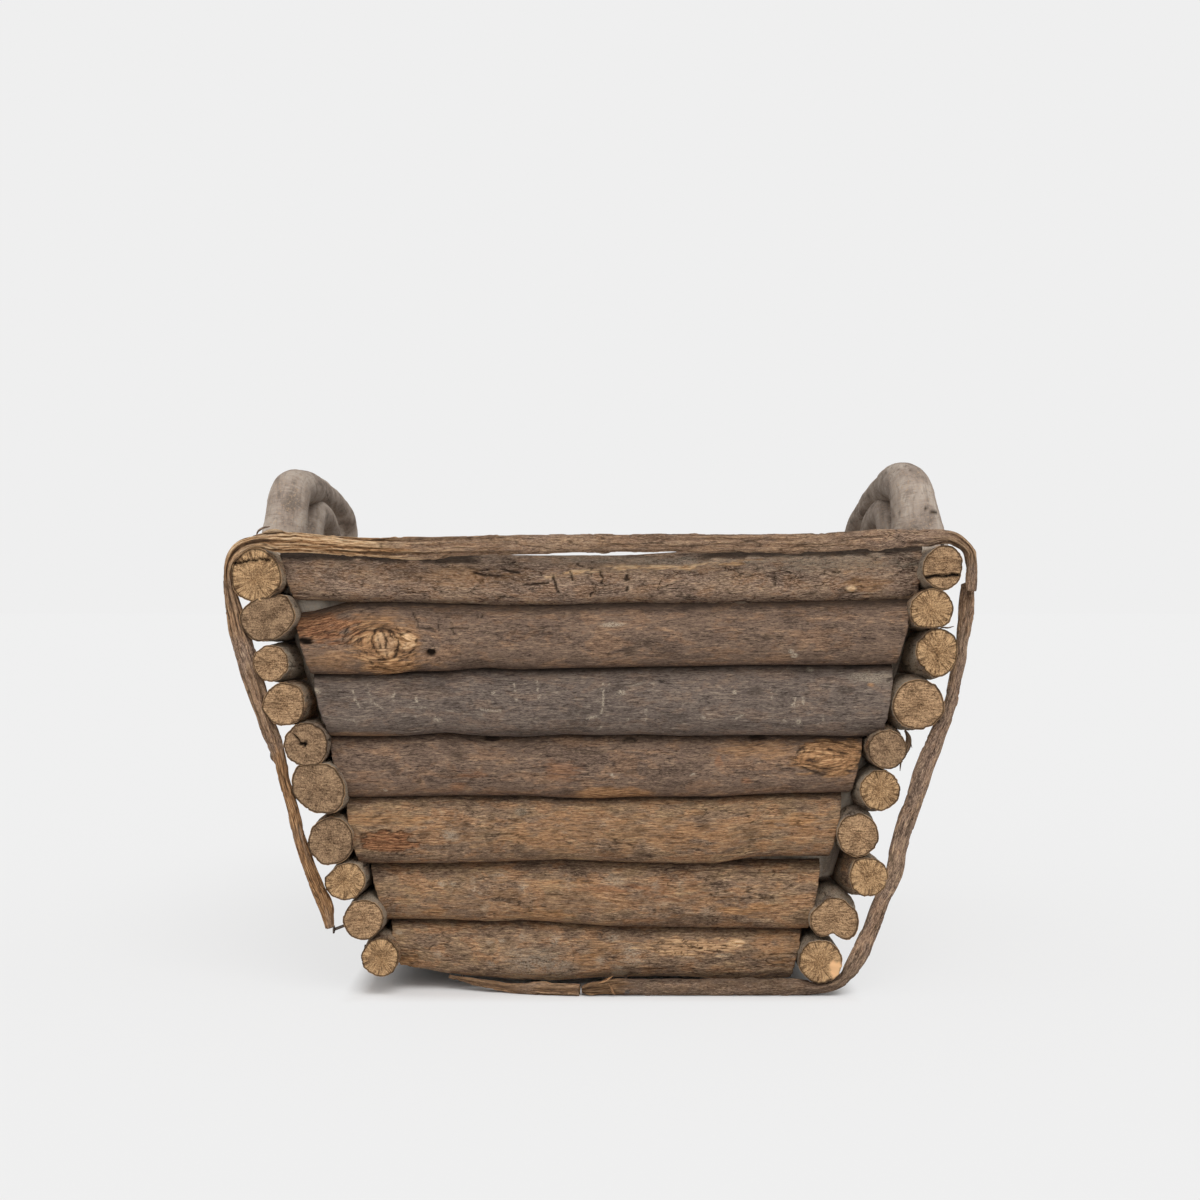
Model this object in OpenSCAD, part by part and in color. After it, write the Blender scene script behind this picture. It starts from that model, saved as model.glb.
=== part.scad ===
// A farmhouse twig box: round twigs nailed to leaning corner posts, with bent rods for handles
// and a thin withy bound round each end. Millimetres, +Z up, the front faces -Y.
// The origin is on the ground under the middle of the box. Twigs are numbered from the ground up.

/* [Box] */
// Length of the side twigs, front to back
box_l = 420; // [380:5:480]
// Half the width between the two side walls, at their lowest twig
base_half_w = 136; // [115:1:160]
// How far each side wall leans outwards, in degrees
lean = 17.5; // [12:0.5:22]

/* [Twigs] */
// Middling radius of the side twigs
side_r = 13; // [11.5:0.25:15]
// Room between the top front or back twig and the rim rod above it
rim_room = 1.6; // [0.6:0.2:5]
// Height of the lowest front and back twig's underside above the ground
end_drop = 4; // [2:0.5:12]
// How far the thickest front and back twig lies behind the sawn side twig ends
end_inset = 3.2; // [2:0.2:14]
// Radius of the four corner posts
post_r = 15.5; // [12:0.5:18]
// Height of the corner posts above the axis of the top side twigs
post_rise = 13; // [8:0.5:16]

/* [Handles] */
// Distance of each handle's front leg from the front face
handle_front = 92; // [86:1:110]
// Distance of each handle's back leg from the back face
handle_back = 74; // [68:1:100]
// Height of each outer bow's axis above the axis of the top side twig
handle_rise = 67; // [58:1:80]
// Distance of each inner bow's front leg from the outer bow's front leg
inner_set = 80; // [70:1:95]
// Span of each inner bow, leg to leg
inner_span = 90; // [75:1:100]
// Radius of the outer bows at the middle of the span
bow_r = 11; // [9:0.25:12.5]
// Radius of the inner bows
inner_r = 10; // [8.5:0.1:12]

/* [Bindings] */
// Half the thickness of the binding rods, seen from the front
bind_half = 4; // [3:0.1:5]
// Half the depth of the binding rods, front to back
bind_deep = 4.8; // [4:0.1:6]
// Depth of the flat that the ground has worn on the lower rods
foot_flat = 0.5; // [0.3:0.1:0.8]

/* [Nails] */
// Radius of the nail shanks
nail_r = 1; // [0.8:0.05:1.4]
// Radius of the nail heads
nail_head_r = 2.4; // [1.8:0.1:3.2]
// Thickness of the nail heads
nail_head_h = 0.9; // [0.5:0.1:1.4]
// How deep a nail goes into the last piece that it holds
nail_bite = 12; // [8:0.5:13]

/* [Fits] */
// Gap between round pieces that lie against each other
fit = 0.3; // [0.2:0.05:0.5]
// Gap between a nail and the hole it has made
nail_gap = 0.1; // [0.05:0.05:0.2]

/* [Hidden] */
$fn = 48;

// Each side twig: how much its radius differs from side_r at the front face, just behind it and
// at the back face; how far it stands outside the wall line in front and at the back; the gap
// under its front face, or for the lowest its lift; and how deep it beds into the twig below.
LEFT_TWIGS = [
    [-1.5, -1.0,  0.3, -2.7, -1.5, 3.2, 0],
    [-0.6, -0.4, -1.2,  0.0, -1.0, 0.0, 0],
    [-0.4, -0.4,  0.9,  2.4,  0.5, 0.0, 0],
    [-0.5, -0.4, -0.8,  5.6,  1.5, 0.0, 0],
    [ 2.8,  2.2,  0.8,  2.4,  1.0, 4.5, 0],
    [-0.6, -0.8,  1.2,  1.5,  2.5, 0.0, 0],
    [-0.3, -0.2, -1.4,  6.3,  1.5, 1.8, 0],
    [-1.1, -0.9,  0.6,  5.3,  0.5, 1.5, 0],
    [ 2.8,  2.4, -0.4,  0.0, -0.5, 0.0, 0],
    [ 2.2,  2.0,  0.4, -1.1, -4.5, 0.0, 4]];
RIGHT_TWIGS = [
    [ 0.4,  0.2, -1.0, -3.7, -2.0, 0.0, 0],
    [ 0.9,  0.6,  0.2, -3.9, -1.0, 0.1, 1],
    [-1.4, -1.0,  0.6,  9.5,  2.5, 7.9, 0],
    [ 0.0, -0.8, -1.4, -5.4, -1.0, 3.6, 0],
    [-0.9,  0.4,  0.9, -0.2,  1.5, 5.1, 0],
    [-1.2, -1.0, -0.6, -2.9, -0.5, 0.0, 0],
    [ 1.2,  1.6,  0.8,  5.1,  1.0, 6.4, 0],
    [ 0.4, -0.4, -0.4,  7.6,  0.5, 5.8, 0],
    [-0.8, -1.8,  0.4, -3.1,  0.0, 0.0, 0],
    [ 0.0,  0.2, -0.2, -4.2, -5.5, 1.4, 0]];

// Each front or back twig: how much its radius differs from the middling one at its left end,
// its middle and its right end; and the gap under its left and right ends, or for the lowest
// how far they are lifted.
FRONT_TWIGS = [
    [-4.2, -1.6, -3.0, 4.2, 0.1],
    [-2.1, -0.4,  1.2, 2.8, 0.9],
    [ 0.9,  1.8,  0.9, 4.9, 4.8],
    [-0.6,  0.9, -0.9, 1.8, 1.2],
    [ 1.3,  1.8,  2.4, 0.7, 0.3],
    [-0.3,  2.1,  1.9, 0.0, 2.0],
    [-3.7, -4.1, -4.9, 7.4, 1.7]];
BACK_TWIGS = [
    [-2.0, -1.0, -2.8, 0.5, 0.0],
    [ 1.4,  1.6,  0.2, 0.6, 1.0],
    [ 0.2,  0.8,  1.8, 1.0, 0.6],
    [ 2.2,  1.6,  0.6, 0.4, 1.2],
    [-0.8,  0.4,  1.4, 1.4, 0.8],
    [ 1.6,  1.8,  0.4, 1.2, 1.0],
    [-2.6, -1.8, -1.2, 1.0, 2.0]];

// How much each floor twig's radius differs from the middling one; they add up to nothing.
FLOOR_TWIGS = [0.5, -0.6, 0.2, 0.7, -0.8, 0.3, -0.4, 0.6, -0.2, -0.7, 0.4];

// Bows, front foot to back foot: share of the span, share of the rise, how much thicker than
// bow_r or inner_r, and how far outside the top side twig's axis.
LEFT_BOW = [[0, 0.1, 4.4, 0.5], [0, 0.38, 2.6, 0], [0.01, 0.62, 1.6, -0.6],
            [0.045, 0.81, 1.2, -1], [0.12, 0.915, 1, -0.8], [0.24, 0.965, 0.2, 0],
            [0.41, 1, -1, 0], [0.57, 1, -1.5, 0], [0.78, 0.935, -1.4, 0], [0.92, 0.87, -1.2, 0],
            [0.985, 0.75, -1, 0], [1, 0.5, -0.6, 0], [1, 0.1, 0.4, 0]];
RIGHT_BOW = [[0, 0.1, 7.2, 3.2], [0, 0.38, 4.8, 1.7], [0.01, 0.64, 3, 0],
             [0.045, 0.84, 2.4, -1], [0.12, 0.94, 2, -1.2], [0.22, 0.985, 1.4, -0.8],
             [0.38, 1.01, -0.6, 0], [0.55, 0.985, -1.4, 0], [0.75, 0.87, -1.2, 0],
             [0.9, 0.73, -0.8, 0], [0.975, 0.58, -0.4, 0], [1, 0.38, 0.2, 0], [1, 0.1, 1, 0]];
INNER_BOW = [[0, 0.1, 2, 0], [0, 0.4, 1, 0], [0.03, 0.7, 0.4, 0], [0.13, 0.91, 0, 0],
             [0.3, 1, 0, 0], [0.55, 0.97, -0.2, 0], [0.78, 0.85, -0.3, 0], [0.94, 0.64, -0.2, 0],
             [1, 0.38, 0, 0], [1, 0.1, 0.6, 0]];

// Course of the rods beside the side walls: share of the wall's height, how far the rod's
// middle stands outside the wall line, and how much thicker it is there than bind_half.
LEFT_ROD = [[0.12, 20.1, -1.4], [0.2, 20.8, -1], [0.28, 21.9, -0.8], [0.38, 21.8, -0.8],
            [0.47, 21.3, -1], [0.61, 21.6, -0.7], [0.69, 22.4, -0.2], [0.79, 22.4, 0.4],
            [0.85, 21.4, 0], [0.93, 19.2, -0.4], [1, 17, -1]];
RIGHT_ROD = [[0.05, 18.2, -0.2], [0.14, 21.4, 0.2], [0.24, 24.2, 0], [0.33, 22.4, 0.4],
             [0.42, 22.4, 0.6], [0.52, 22.9, 0.3], [0.63, 22.9, 0.3], [0.71, 24, 0.1],
             [0.78, 23.2, 0], [0.93, 16.6, 0], [1, 11.5, -0.8]];
BACK_ROD = [[0.05, 16, 0], [0.3, 17, 0], [0.7, 17.5, 0], [0.95, 15.5, -0.5], [1, 15, -1]];

NECK = 0.14;           // share of a side twig's length at which it has its second radius
STATIONS = [0.07, NECK, 0.3, 0.5, 0.7, 0.85];  // shares at which the twigs have to clear
RIM_SWELL = 1.1;       // how much the rim rod is thicker over the box than bind_half
CORNER_THIN = 1.1;     // how much a rod is thinner where it is bent round a top twig
CORNER_ROOM = 1.8;     // how far the front rim rod stands off the top right twig
STEEPEST = 0.25;       // how fast a binding rod can follow the twigs in and out
SCRAP_L = 94;          // length of the broken scrap of binding under the front
BROKEN_AT = 0.12;      // share of the left wall's height at which the front rim rod is broken off
TUCKED_AT = 0.985;     // share of the right wall's height at which the other rod begins
JOIN_X = -9;           // where the lower front rod ends, from the middle of the box
LOOSE_NAIL = 9;        // how far one loose nail at the front left stands out of its twig
BOW_GAP = 1.2;         // gap between the inner bow's crown and the outer bow
SMOOTH = 3;            // rings in each stretch of a bow
ROD_SIDES = 10;
BOW_SIDES = 12;

side_n = len(LEFT_TWIGS);
end_n = len(FRONT_TWIGS);
floor_n = len(FLOOR_TWIGS);

function mix(a, b, t) = a + (b - a) * t;
function peak(list) = max([for (v = list) v]);
function total(list) = list * [for (v = list) 1];
// Spacing across the wall of two round twigs in contact, one standing out by jog.
function spacing(sum_r, jog) = sqrt(pow(sum_r + fit, 2) - pow(jog, 2));

// Side walls. sd is -1 for left and 1 for right, i counts from 0 at the ground, and t runs from
// 0 at the front face to 1 at the back one. s goes up along the wall, out goes outwards.
function side_row(sd, i) = sd < 0 ? LEFT_TWIGS[i] : RIGHT_TWIGS[i];
function side_radius(sd, i, t) = let (row = side_row(sd, i))
    side_r + (t < NECK ? mix(row[0], row[1], t / NECK)
                       : mix(row[1], row[2], (t - NECK) / (1 - NECK)));
function side_out(sd, i, t) = mix(side_row(sd, i)[3], side_row(sd, i)[4], t);
function pair_spacing(sd, i, t) =
    spacing(side_radius(sd, i, t) + side_radius(sd, i - 1, t) - side_row(sd, i)[6],
            side_out(sd, i, t) - side_out(sd, i - 1, t));
function front_step(sd, i, back) = max(pair_spacing(sd, i, 0) + side_row(sd, i)[5],
    peak([for (t = STATIONS) (pair_spacing(sd, i, t) - t * back) / (1 - t)]));
// Running sums of a list.
function climb(list) = [for (k = 0, sum = list[0]; k < len(list);
    k = k + 1, sum = sum + (k < len(list) ? list[k] : 0)) sum];
back_steps = [for (sd = [-1, 1]) [for (i = [0:side_n - 1])
    i == 0 ? side_row(sd, 0)[5] : pair_spacing(sd, i, 1)]];
back_s = [for (steps = back_steps) climb(steps)];
front_s = [for (sd = [-1, 1]) climb([for (i = [0:side_n - 1])
    i == 0 ? side_row(sd, 0)[5] : front_step(sd, i, back_steps[sd < 0 ? 0 : 1][i])])];
function side_s(sd, i, t) =
    let (w = sd < 0 ? 0 : 1) mix(front_s[w][i], back_s[w][i], t);

foot_h = 2 * bind_half - foot_flat;
low_z = foot_h + fit + peak([for (sd = [-1, 1], t = [0, NECK, 1])
    side_radius(sd, 0, t) + side_out(sd, 0, t) * sin(lean)
    - side_row(sd, 0)[5] * cos(lean)]);

function along(t) = mix(-box_l / 2, box_l / 2, t);
function share(y) = y / box_l + 0.5;
// A point on a side wall, from its places up the wall, outwards and along the box.
function on_wall(sd, s, out, y) = [
    sd * (base_half_w + s * sin(lean) + out * cos(lean)), y,
    low_z + s * cos(lean) - out * sin(lean)];
function side_at(sd, i, t) = on_wall(sd, side_s(sd, i, t), side_out(sd, i, t), along(t));

// How far the side twigs reach in and out at a stretch of the wall, taking each as a circle.
function circle_reach(r, off) = off < r ? sqrt(r * r - off * off) : -2 * r;
function inward(sd, s0, s1, t) = peak([for (i = [0:side_n - 1])
    let (s = side_s(sd, i, t), off = max(0, s0 - s, s - s1))
    circle_reach(side_radius(sd, i, t), off) - side_out(sd, i, t)]);
function outward(sd, s, t) = peak([for (i = [0:side_n - 1])
    side_radius(sd, i, t) * norm([1, STEEPEST]) + side_out(sd, i, t)
    - STEEPEST * abs(s - side_s(sd, i, t))]);

// Bows and rods at the rim follow the top side twigs.
top = side_n - 1;
corner_half = bind_half - CORNER_THIN;
bind_t = bind_deep / box_l;
function bind_share(fb) = fb < 0 ? bind_t : 1 - bind_t;
// Height of the rim rod's underside.
function rim_z(fb) = min([for (sd = [-1, 1]) let (t = bind_share(fb))
    side_at(sd, top, t).z + side_radius(sd, top, t) + fit - RIM_SWELL]);

// Front and back walls. fb is -1 for front and 1 for back, e is -1, 0 or 1 for left, middle
// and right. Their twigs all lie against the same plane, which the corner posts stand behind.
function end_row(fb, i) = fb < 0 ? FRONT_TWIGS[i] : BACK_TWIGS[i];
function end_gap(fb, i, e) = end_row(fb, i)[e < 0 ? 3 : 4];
function pair_sum(fb, i, e) = end_row(fb, i)[e + 1] + end_row(fb, i - 1)[e + 1];
// What has to be added under a twig so that its thick middle clears the one below.
function end_short(fb, i) = max(0, pair_sum(fb, i, 0) - (pair_sum(fb, i, -1)
    + pair_sum(fb, i, 1) + end_gap(fb, i, -1) + end_gap(fb, i, 1)) / 2);
function end_sum(fb, e) = end_gap(fb, 0, e) + peak([for (k = [0:2]) end_row(fb, 0)[k]])
    + total([for (i = [1:end_n - 1]) pair_sum(fb, i, e) + end_gap(fb, i, e) + end_short(fb, i) + fit])
    + end_row(fb, end_n - 1)[e + 1];
// Middling radius, with which the stack of twigs just fits under the rim rod.
end_mid = [for (fb = [-1, 1]) min([for (e = [-1, 1])
    (rim_z(fb) - rim_room - end_drop - end_sum(fb, e)) / (2 * end_n)])];
function end_radius(fb, i, e) = end_mid[fb < 0 ? 0 : 1] + end_row(fb, i)[e + 1];
thickest = peak([for (fb = [-1, 1], i = [0:end_n - 1], e = [-1:1]) end_radius(fb, i, e)]);
wall_depth = end_inset + 2 * thickest;
// How far a twig stands off the posts at its ends because its middle is thicker.
function bulge(fb, i) =
    max(0, end_row(fb, i)[1] - (end_row(fb, i)[0] + end_row(fb, i)[2]) / 2);
function end_off(fb, i, e) = end_radius(fb, i, e) + bulge(fb, i);
function end_y(fb, i, e) = fb * (box_l / 2 - wall_depth + end_off(fb, i, e));
function end_steps(fb, e) = [for (i = [0:end_n - 1]) i == 0
    ? end_drop + peak([for (k = [-1:1]) end_radius(fb, 0, k)]) + end_gap(fb, 0, e)
    : end_gap(fb, i, e) + end_short(fb, i)
      + spacing(end_radius(fb, i, e) + end_radius(fb, i - 1, e),
                end_off(fb, i, e) - end_off(fb, i - 1, e))];
end_heights = [for (fb = [-1, 1]) [for (e = [-1, 1]) climb(end_steps(fb, e))]];
function end_z(fb, i, e) = end_heights[fb < 0 ? 0 : 1][e < 0 ? 0 : 1][i];
// Distance of a front or back twig's sawn end inside the wall line.
function cut_at(sd, fb, i) =
    let (r = peak([for (e = [-1:1]) end_radius(fb, i, e)]), z = end_z(fb, i, sd),
         lag = side_r * tan(lean), s0 = (z - r - low_z) / cos(lean) - 1.4 * lag,
         s1 = (z + r - low_z) / cos(lean) - 0.6 * lag)
    fit + peak([for (d = [0, 1, 2]) inward(sd, s0, s1,
        fb < 0 ? d / 2 * wall_depth / box_l : 1 - d / 2 * wall_depth / box_l)]);
end_cuts = [for (sd = [-1, 1]) [for (fb = [-1, 1]) [for (i = [0:end_n - 1]) cut_at(sd, fb, i)]]];
function end_cut(sd, fb, i) = end_cuts[sd < 0 ? 0 : 1][fb < 0 ? 0 : 1][i];
function wall_x(z, inside) = base_half_w + tan(lean) * (z - low_z) - inside / cos(lean);

// Corner posts stand in the corners, clear of the side twigs and against the end twigs.
function post_y(fb) = fb * (box_l / 2 - wall_depth - fit - post_r);
post_from = wall_depth + fit;
function post_at(sd, fb) = fit + post_r + peak([for (d = [0, 1, 2], i = [0:side_n - 1])
    let (near = (post_from + d * post_r) / box_l, t = fb < 0 ? near : 1 - near)
    side_radius(sd, i, t) - side_out(sd, i, t)]);

post_ins = [for (sd = [-1, 1]) [for (fb = [-1, 1]) post_at(sd, fb)]];
function post_in(sd, fb) = post_ins[sd < 0 ? 0 : 1][fb < 0 ? 0 : 1];

// Floor twigs lie across the lowest side twigs and butt against the second ones.
floor_l = box_l - 2 * wall_depth;
floor_r = (floor_l / floor_n - fit) / 2;
function floor_radius(j) = floor_r + FLOOR_TWIGS[j];
floor_ys = climb([for (j = [0:floor_n - 1]) j == 0
    ? fit / 2 + floor_radius(0) - floor_l / 2
    : floor_radius(j - 1) + floor_radius(j) + fit]);
function floor_y(j) = floor_ys[j];
function floor_x(sd, j) = peak([for (d = [-1, 1])
    let (t = share(floor_y(j) + d * floor_radius(j)), p = side_at(sd, 1, t))
    -abs(p.x) + side_radius(sd, 1, t)]) * -1 - fit;
function floor_z(sd, j) = floor_radius(j) + fit + peak([for (d = [-1, 1])
    let (t = share(floor_y(j) + d * floor_radius(j)), p = side_at(sd, 0, t))
    p.z + circle_reach(side_radius(sd, 0, t), max(0, abs(p.x) - floor_x(sd, j)))]);
floor_top = fit + peak([for (j = [0:floor_n - 1], sd = [-1, 1]) floor_z(sd, j) + floor_radius(j)]);

// Bows stand on the top side twigs, coped over them.
handle_y0 = -box_l / 2 + handle_front;
handle_span = box_l - handle_front - handle_back;
function outer_row(sd, k) = sd < 0 ? LEFT_BOW[k] : RIGHT_BOW[k];
function bow_point(sd, row, y0, span, rise, r) =
    let (y = y0 + row[0] * span, p = side_at(sd, top, share(y)))
    [[p.x + sd * row[3], y, p.z + rise * row[1]], r + row[2]];
function outer_bow(sd) = [for (row = sd < 0 ? LEFT_BOW : RIGHT_BOW)
    bow_point(sd, row, handle_y0, handle_span, handle_rise, bow_r)];
inner_y0 = handle_y0 + inner_set;
// The inner bow's crown lies just under the lower side of the outer one.
function under_bow(sd, share_y) = let (bow = sd < 0 ? LEFT_BOW : RIGHT_BOW)
    handle_rise * lookup(share_y, [for (p = bow) [p[0], p[1]]])
    - bow_r - lookup(share_y, [for (p = bow) [p[0], p[2]]]);
function inner_rise(sd) = min([for (p = INNER_BOW) if (p[1] > 0.8)
    (under_bow(sd, (inner_set + p[0] * inner_span) / handle_span) - inner_r - p[2] - BOW_GAP) / p[1]]);
function inner_bow(sd) = [for (row = INNER_BOW)
    bow_point(sd, row, inner_y0, inner_span, inner_rise(sd), inner_r)];

// Smooth curve through points that each hold a place and a radius.
function curve_at(p, k, u) = let (n = len(p) - 1, a = p[max(k - 1, 0)], b = p[k],
    c = p[min(k + 1, n)], d = p[min(k + 2, n)])
    0.5 * (2 * b + (c - a) * u + (2 * a - 5 * b + 4 * c - d) * u * u
           + (3 * b - a - 3 * c + d) * u * u * u);
function curve(p) = concat([for (k = [0:len(p) - 2], u = [0:SMOOTH - 1]) curve_at(p, k, u / SMOOTH)],
                           [p[len(p) - 1]]);

// Bindings, as points that each hold a place and half the thickness, seen from the front.
bind_y = box_l / 2 - bind_deep;
rim_half = bind_half + RIM_SWELL;
CORNER_STEPS = 6;
RUN_STEPS = 9;
function wall_s(sd) = side_s(sd, top, 0);
function rod_table(sd, fb) = fb > 0 ? BACK_ROD : sd < 0 ? LEFT_ROD : RIGHT_ROD;
function rod_half(sd, fb, s) =
    bind_half + lookup(s / wall_s(sd), [for (p = rod_table(sd, fb)) [p[0], p[2]]]);
function rod_out(sd, fb, s) =
    max(outward(sd, s, bind_share(fb)) + fit + rod_half(sd, fb, s),
        lookup(s / wall_s(sd), [for (p = rod_table(sd, fb)) [p[0], p[1]]]));
function beside(sd, fb, s, y_in = 0) =
    [on_wall(sd, s, rod_out(sd, fb, s), fb * (bind_y - y_in)), rod_half(sd, fb, s)];
function corner(sd, fb, a, away = 0) =
    let (t = bind_share(fb), p = side_at(sd, top, t),
         r = side_radius(sd, top, t) + fit + corner_half)
    [[p.x + sd * (r + away) * cos(a), fb * bind_y, p.z + (r + away) * sin(a)], corner_half];
function corner_run(sd, fb, a0, a1, away = 0) =
    [for (k = [0:CORNER_STEPS]) corner(sd, fb, mix(a0, a1, k / CORNER_STEPS), away)];
function top_run(fb) = let (a = corner(-1, fb, 90)[0],
    b = corner(1, fb, 90, fb < 0 ? CORNER_ROOM : 0)[0])
    [for (k = [1:RUN_STEPS - 1]) let (u = k / RUN_STEPS, full = 1 - pow(2 * u - 1, 8))
        [mix(a, b, u) + [0, 0, RIM_SWELL * full], mix(corner_half, rim_half, full)]];
// Down a wall, with a bend at each twig. tuck is how far the rod lies behind another one there.
function side_run(sd, fb, s0, s1, tuck = 0) =
    let (up = [for (i = [0:side_n - 1]) side_s(sd, i, bind_share(fb))],
         all = concat([s0], [for (s = up) if (s > s0 + side_r / 2 && s < s1 - side_r / 2) s], [s1]))
    [for (s = all) beside(sd, fb, s, tuck * min(1, max(0, (s / wall_s(sd) - 0.72) * 6)))];
// The lower corner is an arc round the lowest side twig, down to the rod's run on the ground.
function lower_corner(sd, fb) =
    let (t = bind_share(fb), p = side_at(sd, 0, t), z = bind_half - foot_flat,
         r = p.z - z, r_x = max(r, side_radius(sd, 0, t) + fit + bind_half) * 1.07)
    [for (k = [0:CORNER_STEPS]) let (a = mix(-lean - 6, -90, k / CORNER_STEPS))
        [[p.x + sd * r_x * cos(a), fb * bind_y, p.z + r * sin(a)], bind_half]];
function ground_point(x, fb) = [[x, fb * bind_y, bind_half - foot_flat], bind_half];
function ground_run(sd, fb, x0) =
    let (x1 = abs(side_at(sd, 0, bind_share(fb)).x), n = ceil((x1 - x0) / 30))
    [for (k = [0:n - 1]) ground_point(sd * mix(x0, x1, k / n), fb)];
function reversed(p) = [for (k = [len(p) - 1:-1:0]) p[k]];

rim_end = corner(1, -1, -12, CORNER_ROOM);
rim_rod = concat(side_run(-1, -1, wall_s(-1) * BROKEN_AT, wall_s(-1) * 0.97),
    corner_run(-1, -1, -5, 90), top_run(-1), corner_run(1, -1, 90, -12, CORNER_ROOM),
    [for (k = [1, 2]) [rim_end[0] + k * [-0.4, 0, -6.5], corner_half + 0.4 * k]]);
side_rod = concat(ground_run(1, -1, JOIN_X), reversed(lower_corner(1, -1)),
    side_run(1, -1, 12, wall_s(1) * TUCKED_AT, 2 * bind_deep + fit));
SCRAP_STEPS = 5;
scrap_rise = 1.2;      // how much the scrap's thin end lies higher than its thick end
scrap_back = 18;       // how much further back it lies
scrap_thin = 2.3;      // how much thinner it is
scrap_rod = [for (k = [0:SCRAP_STEPS]) let (u = k / SCRAP_STEPS)
    [ground_point(JOIN_X - 2 - SCRAP_L * u, -1)[0] + [0, scrap_back * pow(u, 1.3), scrap_rise * u * u * u],
     bind_half - scrap_thin * u]];
back_rod = concat(ground_run(1, 1, -JOIN_X), reversed(lower_corner(1, 1)),
    side_run(1, 1, 12, wall_s(1) * 0.93), corner_run(1, 1, -5, 90), reversed(top_run(1)),
    corner_run(-1, 1, 90, -5), reversed(side_run(-1, 1, 12, wall_s(-1) * 0.93)),
    lower_corner(-1, 1), reversed(ground_run(-1, 1, -JOIN_X)));

// Nails, as pairs of points: under the head, and the tip. They stand on the bark of the piece
// that they go through first.
nail_side = 5;         // how far nails stand from the middle line of a post or floor twig
head_on = nail_head_r; // how far a head reaches from the nail's own line
function above_floor(z) = z > floor_top + 2 * nail_head_r;
// Side twigs are nailed to the posts from outside.
function side_nail(sd, fb, i) =
    let (y = post_y(fb) - fb * nail_side, t = share(y), s = side_s(sd, i, t))
    [on_wall(sd, s, side_out(sd, i, t) + side_radius(sd, i, t) + nail_gap, y),
     on_wall(sd, s, post_r - post_in(sd, fb) - nail_bite, y)];
function posted_sides(sd, fb) = [for (i = [0:side_n - 1])
    if (above_floor(side_at(sd, i, share(post_y(fb))).z)) i];
// Front and back twigs are nailed from inside, through the posts.
function post_x(sd, fb, z) = sd * wall_x(z, post_in(sd, fb));
function end_nail(sd, fb, i) =
    let (z = end_z(fb, i, sd), x = post_x(sd, fb, z) - sd * nail_side, y = post_y(fb),
         stand = circle_reach(post_r, max(0, nail_side * cos(lean) - head_on)) + nail_gap)
    [[x, y - fb * stand, z], [x, y + fb * (post_r + fit + nail_bite), z]];
function posted(fb, i) = above_floor(min(end_z(fb, i, -1), end_z(fb, i, 1)));
// The lowest front and back twigs are nailed through the side twigs beside them.
function nearest(sd, fb, i) =
    let (t = share(end_y(fb, i, sd)), off = [for (k = [0:side_n - 1])
            abs(side_at(sd, k, t).z - end_z(fb, i, sd))], best = min(off))
    [for (k = [0:side_n - 1]) if (off[k] == best) k][0];
function butt_nail(sd, fb, i) =
    let (k = nearest(sd, fb, i), y = end_y(fb, i, sd), t = share(y), p = side_at(sd, k, t),
         out = sd < 0 && fb < 0 && i == 1 ? LOOSE_NAIL : nail_gap)
    [[p.x + sd * (side_radius(sd, k, t) + out), y, p.z],
     [sd * (wall_x(p.z, end_cut(sd, fb, i)) - nail_bite), y, p.z]];
function end_fixing(sd, fb, i) = posted(fb, i) ? end_nail(sd, fb, i) : butt_nail(sd, fb, i);
// Floor twigs are nailed through the second side twigs, and two of them to the lowest ones.
function floor_nail(sd, j) =
    let (y = floor_y(j), t = share(y), p = side_at(sd, 1, t), z = floor_z(sd, j),
         x = abs(p.x) + circle_reach(side_radius(sd, 1, t), max(0, abs(z - p.z) - head_on)))
    [[sd * (x + nail_gap), y, z], [sd * (floor_x(sd, j) - nail_bite), y, z]];
function seat_nail(sd, j) =
    let (y = floor_y(j) + nail_side, t = share(y), p = side_at(sd, 0, t),
         r = side_radius(sd, 0, t),
         aim = [sd * (floor_x(sd, j) - nail_bite), y, floor_z(sd, j)] - p, d = aim / norm(aim))
    [p - (r + nail_gap) * d, p + (r + nail_bite) * d];
SEATED = [1, floor_n - 2];
wall_nails = concat(
    [for (sd = [-1, 1], fb = [-1, 1]) for (i = posted_sides(sd, fb)) side_nail(sd, fb, i)],
    [for (sd = [-1, 1], fb = [-1, 1], i = [0:end_n - 1]) end_fixing(sd, fb, i)],
    [for (sd = [-1, 1], j = [0:floor_n - 1]) floor_nail(sd, j)],
    [for (sd = [-1, 1], j = SEATED) seat_nail(sd, j)]);

// A nail driven slantwise through the foot of a bow into the top side twig, from within the
// bow's span. A foot is its place along the box, the bow's radius, how high the nail starts, the
// way to the span's middle, and how far the foot stands outside the twig's axis.
function toe_nail(sd, foot) = let (p = side_at(sd, top, share(foot[0])))
    [p + [sd * foot[4], foot[3] * (foot[1] + head_on + nail_gap), foot[2]],
     p + [sd * foot[4] / 2, -foot[3] * 2, -0.7 * nail_bite]];
function outer_feet(sd) = let (n = len(LEFT_BOW) - 1) [
    [handle_y0, bow_r + outer_row(sd, 1)[2], 0.4 * handle_rise, 1, outer_row(sd, 1)[3]],
    [handle_y0 + handle_span, bow_r + outer_row(sd, n)[2], 0.36 * handle_rise, -1, 0]];
function inner_feet(sd) = [[inner_y0, inner_r + 4, inner_rise(sd) / 2, 1, 0],
    [inner_y0 + inner_span, inner_r + 4, inner_rise(sd) / 2, -1, 0]];
function bow_feet(sd) = concat(outer_feet(sd), inner_feet(sd));
handle_nails = [for (sd = [-1, 1]) for (foot = bow_feet(sd)) toe_nail(sd, foot)];

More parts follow.
